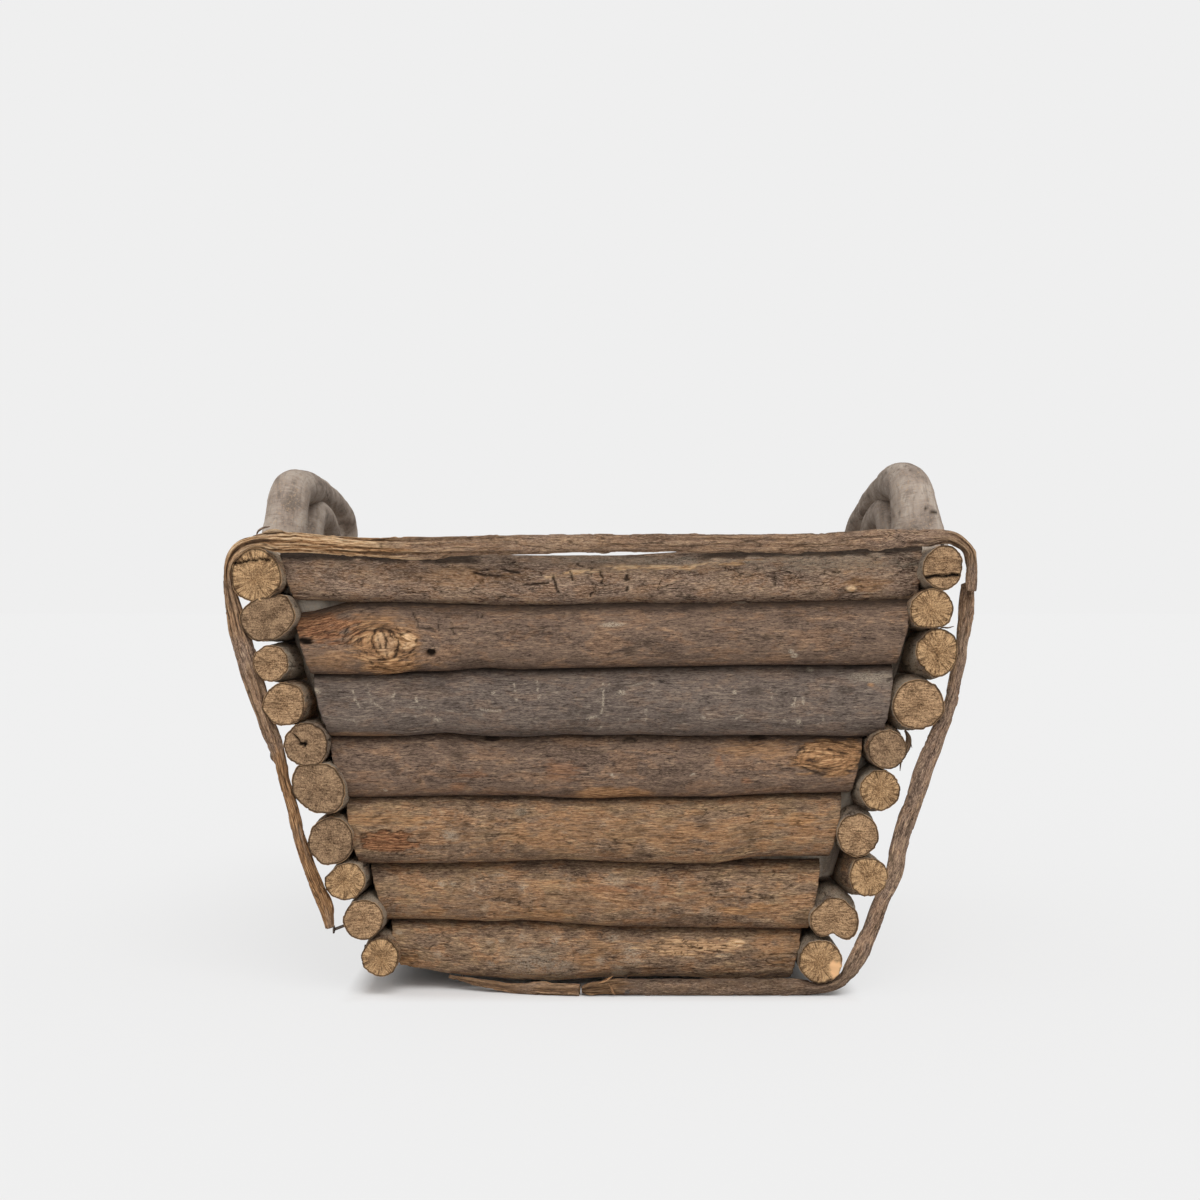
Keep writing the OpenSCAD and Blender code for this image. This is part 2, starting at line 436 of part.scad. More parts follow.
// Nails through the bindings into the ends of the side twigs.
function bind_nail(sd, fb, i) =
    let (t = bind_share(fb), s = side_s(sd, i, t), out = rod_out(sd, fb, s))
    [on_wall(sd, s, out + rod_half(sd, fb, s) + head_on / 5, fb * bind_y),
     on_wall(sd, s, side_out(sd, i, t) + side_radius(sd, i, t) - nail_bite, fb * bind_y)];
function rim_nail(sd, fb) = let (t = bind_share(fb), p = side_at(sd, top, t),
    r = side_radius(sd, top, t), away = sd > 0 && fb < 0 ? CORNER_ROOM : 0)
    [[p.x, fb * bind_y, p.z + r + away + fit + 2 * corner_half + head_on / 5],
     [p.x, fb * bind_y, p.z + r - nail_bite]];
// A nail slanting up from a rod on the ground into the lowest front or back twig.
function ground_nail(x, fb) =
    [[x, fb * (box_l / 2 + head_on / 3), bind_half - foot_flat],
     [x, fb * (bind_y - bind_deep - 1.5 * nail_bite), bind_half + 0.75 * nail_bite]];
LEFT_COURSES = [4, 6];
RIGHT_COURSES = [2, 6];
BACK_COURSES = [1, 4, 7];
FRONT_GROUND = [15];   // places along the front and back rods of their nails
BACK_GROUND = [-20, 20];
function courses(sd, fb) = fb > 0 ? BACK_COURSES : sd < 0 ? LEFT_COURSES : RIGHT_COURSES;
rim_nails = concat([for (sd = [-1, 1]) rim_nail(sd, -1)],
                   [for (i = LEFT_COURSES) bind_nail(-1, -1, i)]);
side_nails = concat([for (i = RIGHT_COURSES) bind_nail(1, -1, i)],
    [for (x = FRONT_GROUND) ground_nail(x, -1)]);
scrap_nails = [let (p = scrap_rod[SCRAP_STEPS - 1]) [p[0] - [0, 0, p[1] + nail_gap],
    [p[0].x, p[0].y, end_drop + nail_bite]]];
back_nails = concat([for (sd = [-1, 1]) rim_nail(sd, 1)],
    [for (sd = [-1, 1], i = BACK_COURSES) bind_nail(sd, 1, i)],
    [for (x = BACK_GROUND) ground_nail(x, 1)]);
binding_nails = concat(rim_nails, side_nails, scrap_nails, back_nails);

// Turns what stands on the Z axis to run from one point to another.
module between(a, b) {
    d = b - a;
    translate(a) rotate([0, acos(d.z / norm(d)), atan2(d.y, d.x)]) children();
}

// A round twig whose radius changes at the given distances along it.
module tapered(a, b, stations) {
    l = norm(b - a);
    between(a, b) rotate_extrude()
        polygon(concat([[0, 0]], [for (p = stations) [p[1], p[0] * l]], [[0, l]]));
}

module bores(nails) {
    for (n = nails) between(n[0], n[1]) translate([0, 0, -nail_head_r])
        cylinder(r = nail_r + nail_gap, h = norm(n[1] - n[0]) + nail_head_r + nail_gap);
}

module nails(list) {
    for (n = list) between(n[0], n[1]) {
        translate([0, 0, -nail_head_h]) cylinder(r = nail_head_r, h = nail_head_h);
        cylinder(r = nail_r, h = norm(n[1] - n[0]));
    }
}

module side_body(sd, i, grow = 0) {
    tapered(side_at(sd, i, 0), side_at(sd, i, 1),
            [for (t = [0, NECK, 1]) [t, side_radius(sd, i, t) + grow]]);
}

module side_twig(sd, i) {
    color("saddlebrown") difference() {
        side_body(sd, i);
        if (i < top && side_row(sd, i + 1)[6] > 0 && sd < 0) side_body(sd, i + 1, fit);
        if (side_row(sd, i)[6] > 0 && sd > 0) side_body(sd, i - 1, fit);
        for (fb = [-1, 1]) {
            bores([for (k = posted_sides(sd, fb)) if (k == i) side_nail(sd, fb, k)]);
            bores([for (k = [0:end_n - 1]) if (!posted(fb, k) && nearest(sd, fb, k) == i)
                butt_nail(sd, fb, k)]);
            bores([for (k = courses(sd, fb)) if (k == i) bind_nail(sd, fb, k)]);
        }
        if (i == 0) bores([for (j = SEATED) seat_nail(sd, j)]);
        if (i == 1) bores([for (j = [0:floor_n - 1]) floor_nail(sd, j)]);
        if (i == top) bores(concat([for (fb = [-1, 1]) rim_nail(sd, fb)],
                                   [for (foot = bow_feet(sd)) toe_nail(sd, foot)]));
    }
}

module end_twig(fb, i) {
    z0 = end_z(fb, i, -1);
    z1 = end_z(fb, i, 1);
    cuts = [for (sd = [-1, 1]) end_cut(sd, fb, i)];
    reach = max(wall_x(z0, cuts[0]), wall_x(z1, cuts[1])) + 2 * thickest;
    low = min(z0, z1) - 2 * thickest;
    high = max(z0, z1) + 2 * thickest;
    color("sienna") difference() {
        intersection() {
            tapered([-reach, end_y(fb, i, -1), z0], [reach, end_y(fb, i, 1), z1],
                    [for (e = [-1:1]) [(e + 1) / 2, end_radius(fb, i, e)]]);
            rotate([90, 0, 0]) linear_extrude(2 * box_l, center = true)
                polygon([[-wall_x(low, cuts[0]), low], [wall_x(low, cuts[1]), low],
                         [wall_x(high, cuts[1]), high], [-wall_x(high, cuts[0]), high]]);
        }
        bores([for (sd = [-1, 1]) end_fixing(sd, fb, i)]);
        if (i == 0) bores(concat([for (x = fb < 0 ? FRONT_GROUND : BACK_GROUND) ground_nail(x, fb)],
                                 fb < 0 ? scrap_nails : []));
    }
}

module floor_twig(j) {
    color("peru") difference() {
        tapered([-floor_x(-1, j), floor_y(j), floor_z(-1, j)],
                [floor_x(1, j), floor_y(j), floor_z(1, j)],
                [for (t = [0, 1]) [t, floor_radius(j)]]);
        bores([for (sd = [-1, 1]) floor_nail(sd, j)]);
        bores([for (sd = [-1, 1], k = SEATED) if (k == j) seat_nail(sd, k)]);
    }
}

module post(sd, fb) {
    top_z = side_at(sd, top, fb < 0 ? 0 : 1).z + post_rise;
    far = side_s(sd, top, 0) + 4 * post_r;
    color("rosybrown") difference() {
        between(on_wall(sd, 0, -post_in(sd, fb), post_y(fb)),
                on_wall(sd, far, -post_in(sd, fb), post_y(fb)))
            cylinder(r = post_r, h = far);
        translate([-box_l, -box_l, floor_top - 4 * box_l]) cube([2 * box_l, 2 * box_l, 4 * box_l]);
        translate([-box_l, -box_l, top_z]) cube([2 * box_l, 2 * box_l, 4 * box_l]);
        bores([for (i = posted_sides(sd, fb)) side_nail(sd, fb, i)]);
        bores([for (i = [0:end_n - 1]) if (posted(fb, i)) end_nail(sd, fb, i)]);
    }
}

// A rod swept through places, each with its half thickness across the sweep. side is the way
// the rod's other thickness points, which is deep all along, or the same where deep is 0.
module swept(points, side, sides, deep = 0) {
    n = len(points) - 1;
    rings = [for (k = [0:n]) let (ahead = points[min(k + 1, n)][0] - points[max(k - 1, 0)][0],
        dir = ahead / norm(ahead), flat_n = cross(dir, side), up = flat_n / norm(flat_n),
        over = cross(up, dir), half = points[k][1])
        [for (q = [0:sides - 1]) let (a = 360 * q / sides)
            points[k][0] + half * cos(a) * up + (deep > 0 ? deep : half) * sin(a) * over]];
    polyhedron(
        points = [for (ring = rings, p = ring) p],
        faces = concat(
            [for (k = [0:n - 1], q = [0:sides - 1]) let (a = k * sides + q,
                b = k * sides + (q + 1) % sides) [a, b, b + sides]],
            [for (k = [0:n - 1], q = [0:sides - 1]) let (a = k * sides + q,
                b = k * sides + (q + 1) % sides) [a, b + sides, a + sides]],
            [[for (q = [sides - 1:-1:0]) q]],
            [[for (q = [0:sides - 1]) n * sides + q]]));
}

module bow(sd, points, feet) {
    color("rosybrown") difference() {
        swept(curve(points), [1, 0, 0], BOW_SIDES);
        side_body(sd, top, fit);
        bores([for (foot = feet) toe_nail(sd, foot)]);
    }
}

module binding(points, through) {
    color("tan") difference() {
        swept(points, [0, 1, 0], ROD_SIDES, bind_deep);
        translate([-box_l, -box_l, -box_l]) cube([2 * box_l, 2 * box_l, box_l]);
        bores(through);
    }
}

for (i = [0:end_n - 1]) {
    end_twig(-1, i);
    end_twig(1, i);
}
for (i = [0:side_n - 1]) {
    side_twig(-1, i);
    side_twig(1, i);
}
for (j = [0:floor_n - 1])
    floor_twig(j);
post(-1, -1);  // front_left_post
post(1, -1);  // front_right_post
post(-1, 1);  // back_left_post
post(1, 1);  // back_right_post
bow(-1, outer_bow(-1), outer_feet(-1));  // left_handle_outer_bow
bow(-1, inner_bow(-1), inner_feet(-1));  // left_handle_inner_bow
bow(1, outer_bow(1), outer_feet(1));  // right_handle_outer_bow
bow(1, inner_bow(1), inner_feet(1));  // right_handle_inner_bow
binding(rim_rod, rim_nails);  // front_rim_rod
binding(side_rod, side_nails);  // front_side_rod
binding(scrap_rod, scrap_nails);  // front_scrap_rod
binding(back_rod, back_nails);  // back_hoop_rod
color("dimgray") nails(wall_nails);
color("dimgray") nails(handle_nails);
color("dimgray") nails(binding_nails);
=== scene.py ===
"""Dresses the twig box: bark, sawn ends, knots, cracks and frayed withies over the CAD frame."""
import math

import bmesh
import bpy
import numpy as np
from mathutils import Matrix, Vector


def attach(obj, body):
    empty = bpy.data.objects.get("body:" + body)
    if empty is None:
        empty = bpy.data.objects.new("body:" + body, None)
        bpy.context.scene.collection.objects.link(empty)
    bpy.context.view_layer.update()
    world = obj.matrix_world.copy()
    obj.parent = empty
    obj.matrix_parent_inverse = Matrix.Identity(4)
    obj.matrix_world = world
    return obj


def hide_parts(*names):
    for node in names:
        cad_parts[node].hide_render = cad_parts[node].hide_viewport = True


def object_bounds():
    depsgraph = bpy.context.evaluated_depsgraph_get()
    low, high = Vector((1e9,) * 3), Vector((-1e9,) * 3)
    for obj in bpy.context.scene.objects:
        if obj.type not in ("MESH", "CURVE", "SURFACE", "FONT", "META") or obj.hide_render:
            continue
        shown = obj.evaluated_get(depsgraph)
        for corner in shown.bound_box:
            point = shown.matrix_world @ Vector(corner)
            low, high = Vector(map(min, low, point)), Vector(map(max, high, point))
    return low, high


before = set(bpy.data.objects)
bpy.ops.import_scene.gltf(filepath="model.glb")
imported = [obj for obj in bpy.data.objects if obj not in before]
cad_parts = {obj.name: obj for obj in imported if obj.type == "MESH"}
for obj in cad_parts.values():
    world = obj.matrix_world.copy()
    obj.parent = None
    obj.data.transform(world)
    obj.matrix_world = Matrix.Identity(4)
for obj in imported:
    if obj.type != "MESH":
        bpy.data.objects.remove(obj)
cad_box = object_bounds()

MM = 0.001
PHOTO = 1200          # pixels each way
LEAN = math.radians(17.5)   # how far the side walls lean outwards
NECK = 0.14           # share of a side twig's length at which it has its second radius
CAMERA_AT = (-0.9, -1310.0, 240.6)   # mm
LENS_PX = 1815.0      # the camera's focal length in pixels of the photograph

# Side twigs, left then right, from the ground up: front x, y, z, back x, y, z, and the radius in
# front, behind the front and at the back, in mm as in the part's source.
SIDE_TWIGS = (
    ((-134.4, -210, 24, -135.5, 210, 23.6, 11.5, 12, 13.3),
     (-144.4, -210, 46.7, -143.6, 210, 47.7, 12.4, 12.6, 11.8),
     (-154.3, -210, 70.2, -152.9, 210, 72, 12.6, 12.6, 13.9),
     (-164.9, -210, 93.3, -161.8, 210, 96.8, 12.5, 12.6, 12.2),
     (-171.8, -210, 125.6, -169.2, 210, 122.1, 15.8, 15.2, 13.8),
     (-179.5, -210, 153.1, -179.1, 210, 148.6, 12.4, 12.2, 14.2),
     (-192.1, -210, 177.1, -186, 210, 173.7, 12.7, 12.8, 11.6),
     (-199.1, -210, 202.6, -192.7, 210, 198.3, 11.9, 12.1, 13.6),
     (-202.4, -210, 230.7, -199.7, 210, 223.9, 15.8, 15.4, 12.6),
     (-209.7, -210, 257.4, -202.5, 210, 246, 15.2, 15, 13.4)),
    ((132.5, -210, 21.2, 134.1, 210, 20.7, 13.4, 13.2, 12),
     (140.3, -210, 46.7, 142.4, 210, 43.7, 13.9, 13.6, 13.2),
     (162.1, -210, 71.3, 153.8, 210, 68.3, 11.6, 12, 13.6),
     (155, -210, 98.2, 158.1, 210, 93.5, 13, 12.2, 11.6),
     (168.9, -210, 125.2, 168.2, 210, 117.2, 12.1, 13.4, 13.9),
     (174, -210, 150.3, 174.3, 210, 143.1, 11.8, 12, 12.4),
     (191.1, -210, 177.9, 183.6, 210, 167.9, 14.2, 14.6, 13.8),
     (203.6, -210, 209.1, 191.2, 210, 193.5, 13.4, 12.6, 12.6),
     (200.5, -210, 234.8, 198.6, 210, 218.7, 12.2, 11.2, 13.4),
     (207.5, -210, 260.8, 201.2, 210, 245.1, 13, 13.2, 12.8)),
)
# Front and back twigs, from the ground up: reach of the axis each way, left y, z, right y, z,
# the radius at left, middle and right, and where the twig is cut at its axis.
END_TWIGS = (
    ((163.1, -181.7, 24.7, -182.9, 20.6, 13.9, 16.5, 15.1, -122, 117.9),
     (175.5, -181.8, 58, -185.1, 56.5, 16, 17.7, 19.3, -134.4, 128.5),
     (190.6, -185.7, 98.1, -185.7, 99.9, 19, 19.9, 19, -149.5, 141.6),
     (199.8, -184.9, 137.8, -184.6, 138.8, 17.5, 19, 17.2, -158.8, 157.7),
     (214.8, -185.2, 176.9, -186.3, 178.2, 19.4, 19.9, 20.5, -173.7, 170.5),
     (224.2, -184.9, 214.8, -187.1, 221.3, 17.8, 20.2, 20, -180.5, 183.1),
     (233.4, -180.4, 254.4, -179.2, 255.7, 14.4, 14, 13.2, -192.3, 191.6)),
    ((161.8, 182.2, 20.6, 181.4, 20.1, 15.1, 16.1, 14.3, -120.3, 120.7),
     (174.2, 185, 56.4, 183.8, 54.3, 18.5, 18.7, 17.3, -133.1, 131.2),
     (185.8, 183, 93.4, 184.6, 91.4, 17.3, 17.9, 18.9, -144.7, 144.4),
     (198.2, 185.2, 130.6, 183.6, 129.4, 19.3, 18.7, 17.7, -157.1, 156.4),
     (211.1, 182.1, 167.7, 184.3, 166.7, 16.3, 17.5, 18.5, -170, 168.2),
     (221.1, 185.2, 204.1, 184, 204, 18.7, 18.9, 17.5, -180, 179.6),
     (226.8, 180.3, 238.2, 181.7, 239.6, 14.5, 15.3, 15.9, -185.7, 185.7)),
)
FLOOR_TWIGS = (
    (-131.4, 126.6, -150.1, 51.2, 48.6, 15.4),
    (-131.4, 126.8, -120.1, 50.2, 47.4, 14.3),
    (-131.4, 127, -90.4, 51.1, 48.1, 15.1),
    (-131.4, 127.2, -59.4, 51.6, 48.5, 15.6),
    (-131.4, 127.4, -29.3, 50.2, 46.9, 14.1),
    (-131.5, 127.5, 0.3, 51.4, 47.9, 15.2),
    (-131.5, 127.7, 30.3, 50.7, 47.1, 14.5),
    (-131.5, 127.9, 60.7, 51.8, 48, 15.5),
    (-131.5, 128.1, 91.2, 51.1, 47, 14.7),
    (-131.5, 128.3, 120.4, 50.6, 46.4, 14.2),
    (-131.5, 128.4, 150.2, 51.8, 47.4, 15.3),
)
POSTS = (
    (-105.1, -149.9, 29.8, 270.4),
    (-104, 149.9, 30.2, 259),
    (104.1, -149.9, 30.1, 273.8),
    (103.6, 149.9, 30.3, 258.1),
)
LEFT_OUTER = ((-208.6, -118, 261.6, 15.4),
    (-208.1, -118, 280.3, 13.6),
    (-207.4, -115.5, 296.3, 12.6),
    (-206.9, -106.6, 308.8, 12.2),
    (-206.8, -87.5, 315.4, 12),
    (-207.1, -57, 317.9, 11.2),
    (-206.3, -13.9, 319.1, 10),
    (-205.6, 26.8, 318, 9.5),
    (-204.7, 80.1, 312.2, 9.6),
    (-204.1, 115.7, 306.9, 9.8),
    (-203.8, 132.2, 298.4, 10),
    (-203.8, 136, 281.5, 10.4),
    (-203.8, 136, 254.7, 11.4))
LEFT_INNER = ((-206.7, -38, 257.3, 12),
    (-206.7, -38, 271, 11),
    (-206.7, -35.3, 284.7, 10.4),
    (-206.5, -26.3, 294.1, 10),
    (-206.3, -11, 297.8, 10),
    (-205.9, 11.5, 295.8, 9.8),
    (-205.5, 32.2, 289.8, 9.7),
    (-205.3, 46.6, 279.8, 9.8),
    (-205.2, 52, 267.7, 10),
    (-205.2, 52, 254.9, 10.6))
RIGHT_OUTER = ((209.3, -118, 264.1, 18.2),
    (207.8, -118, 282.8, 15.8),
    (206.1, -115.5, 300.2, 14),
    (204.9, -106.6, 313.2, 13.4),
    (204.5, -87.5, 319.2, 13),
    (204.5, -62.1, 321.3, 12.4),
    (204.7, -21.5, 321.4, 10.4),
    (204, 21.7, 318.1, 9.6),
    (203.2, 72.5, 308.5, 9.8),
    (202.7, 110.6, 297.7, 10.2),
    (202.4, 129.7, 287, 10.6),
    (202.3, 136, 273.3, 11.2),
    (202.3, 136, 254.6, 12))
RIGHT_INNER = ((204.9, -38, 259, 12),
    (204.9, -38, 272.7, 11),
    (204.9, -35.3, 286.4, 10.4),
    (204.7, -26.3, 295.7, 10),
    (204.5, -11, 299.2, 10),
    (204.2, 11.5, 297, 9.8),
    (203.9, 32.2, 290.7, 9.7),
    (203.6, 46.6, 280.6, 9.8),
    (203.6, 52, 268.4, 10),
    (203.6, 52, 255.6, 10.6))
RIM_ROD = ((-164.1, -205.2, 42.5, 2.6),
    (-172.1, -205.2, 64.6, 3),
    (-180.5, -205.2, 88.4, 3.2),
    (-190.4, -205.2, 119.7, 3),
    (-198.6, -205.2, 147, 3.2),
    (-208.3, -205.2, 172, 3.7),
    (-215.4, -205.2, 197.4, 4.3),
    (-221.8, -205.2, 224.5, 3.8),
    (-225.6, -205.2, 244.5, 3.3),
    (-227.9, -205.2, 255.6, 2.9),
    (-227.6, -205.2, 260.7, 2.9),
    (-226, -205.2, 265.5, 2.9),
    (-223.1, -205.2, 269.6, 2.9),
    (-219.2, -205.2, 272.9, 2.9),
    (-214.6, -205.2, 274.9, 2.9),
    (-209.6, -205.2, 275.6, 2.9),
    (-163.2, -205.2, 276.9, 4.8),
    (-116.9, -205.2, 277.4, 5.1),
    (-70.6, -205.2, 277.7, 5.1),
    (-24.2, -205.2, 278.1, 5.1),
    (22.1, -205.2, 278.4, 5.1),
    (68.4, -205.2, 278.7, 5.1),
    (114.8, -205.2, 279.1, 5.1),
    (161.1, -205.2, 279.3, 4.8),
    (207.4, -205.2, 278.6, 2.9),
    (212.7, -205.2, 277.9, 2.9),
    (217.5, -205.2, 275.6, 2.9),
    (221.4, -205.2, 272, 2.9),
    (224.1, -205.2, 267.4, 2.9),
    (225.4, -205.2, 262.2, 2.9),
    (225, -205.2, 256.9, 2.9),
    (224.6, -205.2, 250.4, 3.3),
    (224.2, -205.2, 243.9, 3.7))
SIDE_ROD = ((-9, -205.2, 3.5, 4),
    (19.3, -205.2, 3.5, 4),
    (47.6, -205.2, 3.5, 4),
    (75.9, -205.2, 3.5, 4),
    (104.2, -205.2, 3.5, 4),
    (132.5, -205.2, 3.5, 4),
    (136.1, -205.2, 3.8, 4),
    (139.6, -205.2, 4.8, 4),
    (142.9, -205.2, 6.4, 4),
    (145.7, -205.2, 8.5, 4),
    (148.1, -205.2, 11.2, 4),
    (149.9, -205.2, 14.1, 4),
    (157, -205.2, 26.1, 3.8),
    (163.3, -205.2, 39.5, 4),
    (177.6, -205.2, 66.3, 4),
    (181.7, -205.2, 89.7, 4.4),
    (190.5, -205.2, 118.3, 4.5),
    (198.6, -205.2, 142.4, 4.3),
    (209.3, -205.2, 172, 4.2),
    (220.6, -200.6, 203.5, 4),
    (222.1, -195.3, 227.8, 4),
    (223, -195.3, 252, 3.4))
SCRAP_ROD = ((-11, -205.2, 3.5, 4),
    (-29.8, -203, 3.5, 3.5),
    (-48.6, -199.7, 3.6, 3.1),
    (-67.4, -195.9, 3.8, 2.6),
    (-86.2, -191.7, 4.1, 2.2),
    (-105, -187.2, 4.7, 1.7))
HOOP_ROD = ((9, 205.2, 3.5, 4),
    (34, 205.2, 3.5, 4),
    (59, 205.2, 3.5, 4),
    (84, 205.2, 3.5, 4),
    (109.1, 205.2, 3.5, 4),
    (134.1, 205.2, 3.5, 4),
    (137.6, 205.2, 3.8, 4),
    (141, 205.2, 4.8, 4),
    (144.2, 205.2, 6.3, 4),
    (146.9, 205.2, 8.4, 4),
    (149.2, 205.2, 10.9, 4),
    (150.9, 205.2, 13.8, 4),
    (154.9, 205.2, 26.7, 4),
    (159.5, 205.2, 38.4, 4),
    (171.4, 205.2, 62.8, 4),
    (175.3, 205.2, 88.1, 4),
    (186, 205.2, 111.7, 4),
    (191.2, 205.2, 137.8, 4),
    (201.4, 205.2, 162.4, 4),
    (207.8, 205.2, 188.5, 3.9),
    (215.6, 205.2, 213.5, 3.7),
    (221.2, 205.2, 238.1, 3.5),
    (217.2, 205.2, 243.9, 2.9),
    (217, 205.2, 248.3, 2.9),
    (215.6, 205.2, 252.5, 2.9),
    (213, 205.2, 256.1, 2.9),
    (209.7, 205.2, 258.9, 2.9),
    (205.6, 205.2, 260.7, 2.9),
    (201.2, 205.2, 261.3, 2.9),
    (156.4, 205.2, 262.4, 4.8),
    (111.5, 205.2, 262.7, 5.1),
    (66.6, 205.2, 262.9, 5.1),
    (21.8, 205.2, 263, 5.1),
    (-23.1, 205.2, 263.2, 5.1),
    (-68, 205.2, 263.4, 5.1),
    (-112.9, 205.2, 263.5, 5.1),
    (-157.7, 205.2, 263.5, 4.8),
    (-202.6, 205.2, 262.8, 2.9),
    (-207.1, 205.2, 262.1, 2.9),
    (-211.3, 205.2, 260.3, 2.9),
    (-214.9, 205.2, 257.4, 2.9),
    (-217.4, 205.2, 253.6, 2.9),
    (-218.9, 205.2, 249.3, 2.9),
    (-219.2, 205.2, 244.7, 2.9),
    (-220.4, 205.2, 235.7, 3.5),
    (-216, 205.2, 218.8, 3.7),
    (-210.1, 205.2, 192.9, 3.9),
    (-201.6, 205.2, 168.9, 4),
    (-197.2, 205.2, 142.9, 4),
    (-186.9, 205.2, 116.5, 4),
    (-177.9, 205.2, 91.7, 4),
    (-170.6, 205.2, 66.3, 4),
    (-160.1, 205.2, 42.5, 4),
    (-154.9, 205.2, 26.7, 4),
    (-155.2, 205.2, 15.6, 4),
    (-153.2, 205.2, 12.2, 4),
    (-150.5, 205.2, 9.2, 4),
    (-147.3, 205.2, 6.8, 4),
    (-143.6, 205.2, 5, 4),
    (-139.7, 205.2, 3.9, 4),
    (-135.5, 205.2, 3.5, 4),
    (-110.2, 205.2, 3.5, 4),
    (-84.9, 205.2, 3.5, 4),
    (-59.6, 205.2, 3.5, 4),
    (-34.3, 205.2, 3.5, 4),
    (-9, 205.2, 3.5, 4))


def scatter(ix, iy, iz, seed):
    """A steady number from -1 to 1 for each point of a lattice."""
    h = (ix.astype(np.uint32) * np.uint32(0x8DA6B343)) ^ (iy.astype(np.uint32) * np.uint32(0xD8163841))
    h = h ^ (iz.astype(np.uint32) * np.uint32(0xCB1AB31F)) ^ np.uint32((seed * 2654435761) & 0xFFFFFFFF)
    h = (h ^ (h >> np.uint32(15))) * np.uint32(0x2C1B3C6D)
    h = (h ^ (h >> np.uint32(12))) * np.uint32(0x297A2D39)
    return (h ^ (h >> np.uint32(15))).astype(np.float64) / 2147483648.0 - 1.0


def noise(p, seed=0):
    """Smooth noise from -1 to 1 at points p, with a grid spacing of 1."""
    q = np.floor(p)
    i = q.astype(np.int64)
    f = p - q
    f = f * f * f * (f * (f * 6 - 15) + 10)
    out = 0.0
    for dx in (0, 1):
        wx = f[:, 0] if dx else 1 - f[:, 0]
        for dy in (0, 1):
            wy = f[:, 1] if dy else 1 - f[:, 1]
            for dz in (0, 1):
                wz = f[:, 2] if dz else 1 - f[:, 2]
                out = out + wx * wy * wz * scatter(i[:, 0] + dx, i[:, 1] + dy, i[:, 2] + dz, seed)
    return out


def layers(p, seed=0, octaves=4, fade=0.55):
    """Several sizes of noise together, from -1 to 1."""
    out, size, part, whole = 0.0, 1.0, 1.0, 0.0
    for k in range(octaves):
        out = out + part * noise(p * size + 17.3 * k, seed + 31 * k)
        whole += part
        size *= 2.03
        part *= fade
    return out / whole * 1.5


def ease(a, b, x):
    """0 below a, 1 above b, smooth between them; a may be the larger one."""
    u = np.clip((x - a) / (b - a), 0, 1)
    return u * u * (3 - 2 * u)


def veins(p, seed, width):
    """1 on thin lines that wander through p, 0 elsewhere."""
    return ease(width, width * 0.25, np.abs(layers(p, seed, 2)))


# Blank sticks, made as by hand and then copied.
blanks = {}


def deselect():
    bpy.ops.object.select_all(action="DESELECT")


def blank(around, cuts, rings):
    """A stick of length 1 and radius 1 along X: a cylinder, cut across along its length, with
    its ends inset by rings and closed to a point."""
    key = (around, cuts, rings)
    if key in blanks:
        return blanks[key]
    deselect()
    bpy.ops.mesh.primitive_cylinder_add(vertices=around, radius=1, depth=1, rotation=(0, math.pi / 2, 0))
    stick = bpy.context.object
    bpy.ops.object.transform_apply(location=False, rotation=True, scale=False)
    bpy.ops.object.mode_set(mode="EDIT")
    bpy.ops.mesh.select_mode(type="EDGE")
    for n in cuts:
        bm = bmesh.from_edit_mesh(stick.data)
        for face in bm.faces:
            face.select_set(False)
        for edge in bm.edges:
            a, b = (v.co for v in edge.verts)
            edge.select_set(abs(a.x - b.x) > 1e-5 and abs(a.y - b.y) + abs(a.z - b.z) < 1e-5)
        bmesh.update_edit_mesh(stick.data)
        bpy.ops.mesh.subdivide(number_cuts=n)
    bpy.ops.mesh.select_mode(type="FACE")
    bm = bmesh.from_edit_mesh(stick.data)
    for face in bm.faces:
        face.select_set(abs(face.normal.x) > 0.9)
    bmesh.update_edit_mesh(stick.data)
    for step in rings:
        bpy.ops.mesh.inset(thickness=step, depth=0)
    bpy.ops.mesh.poke()
    bpy.ops.mesh.select_all(action="SELECT")
    bpy.ops.mesh.normals_make_consistent(inside=False)
    bpy.ops.object.mode_set(mode="OBJECT")
    bpy.ops.object.shade_smooth()
    stick.name = "blank_%d_%d" % (around, len(blanks))
    blanks[key] = stick
    return stick


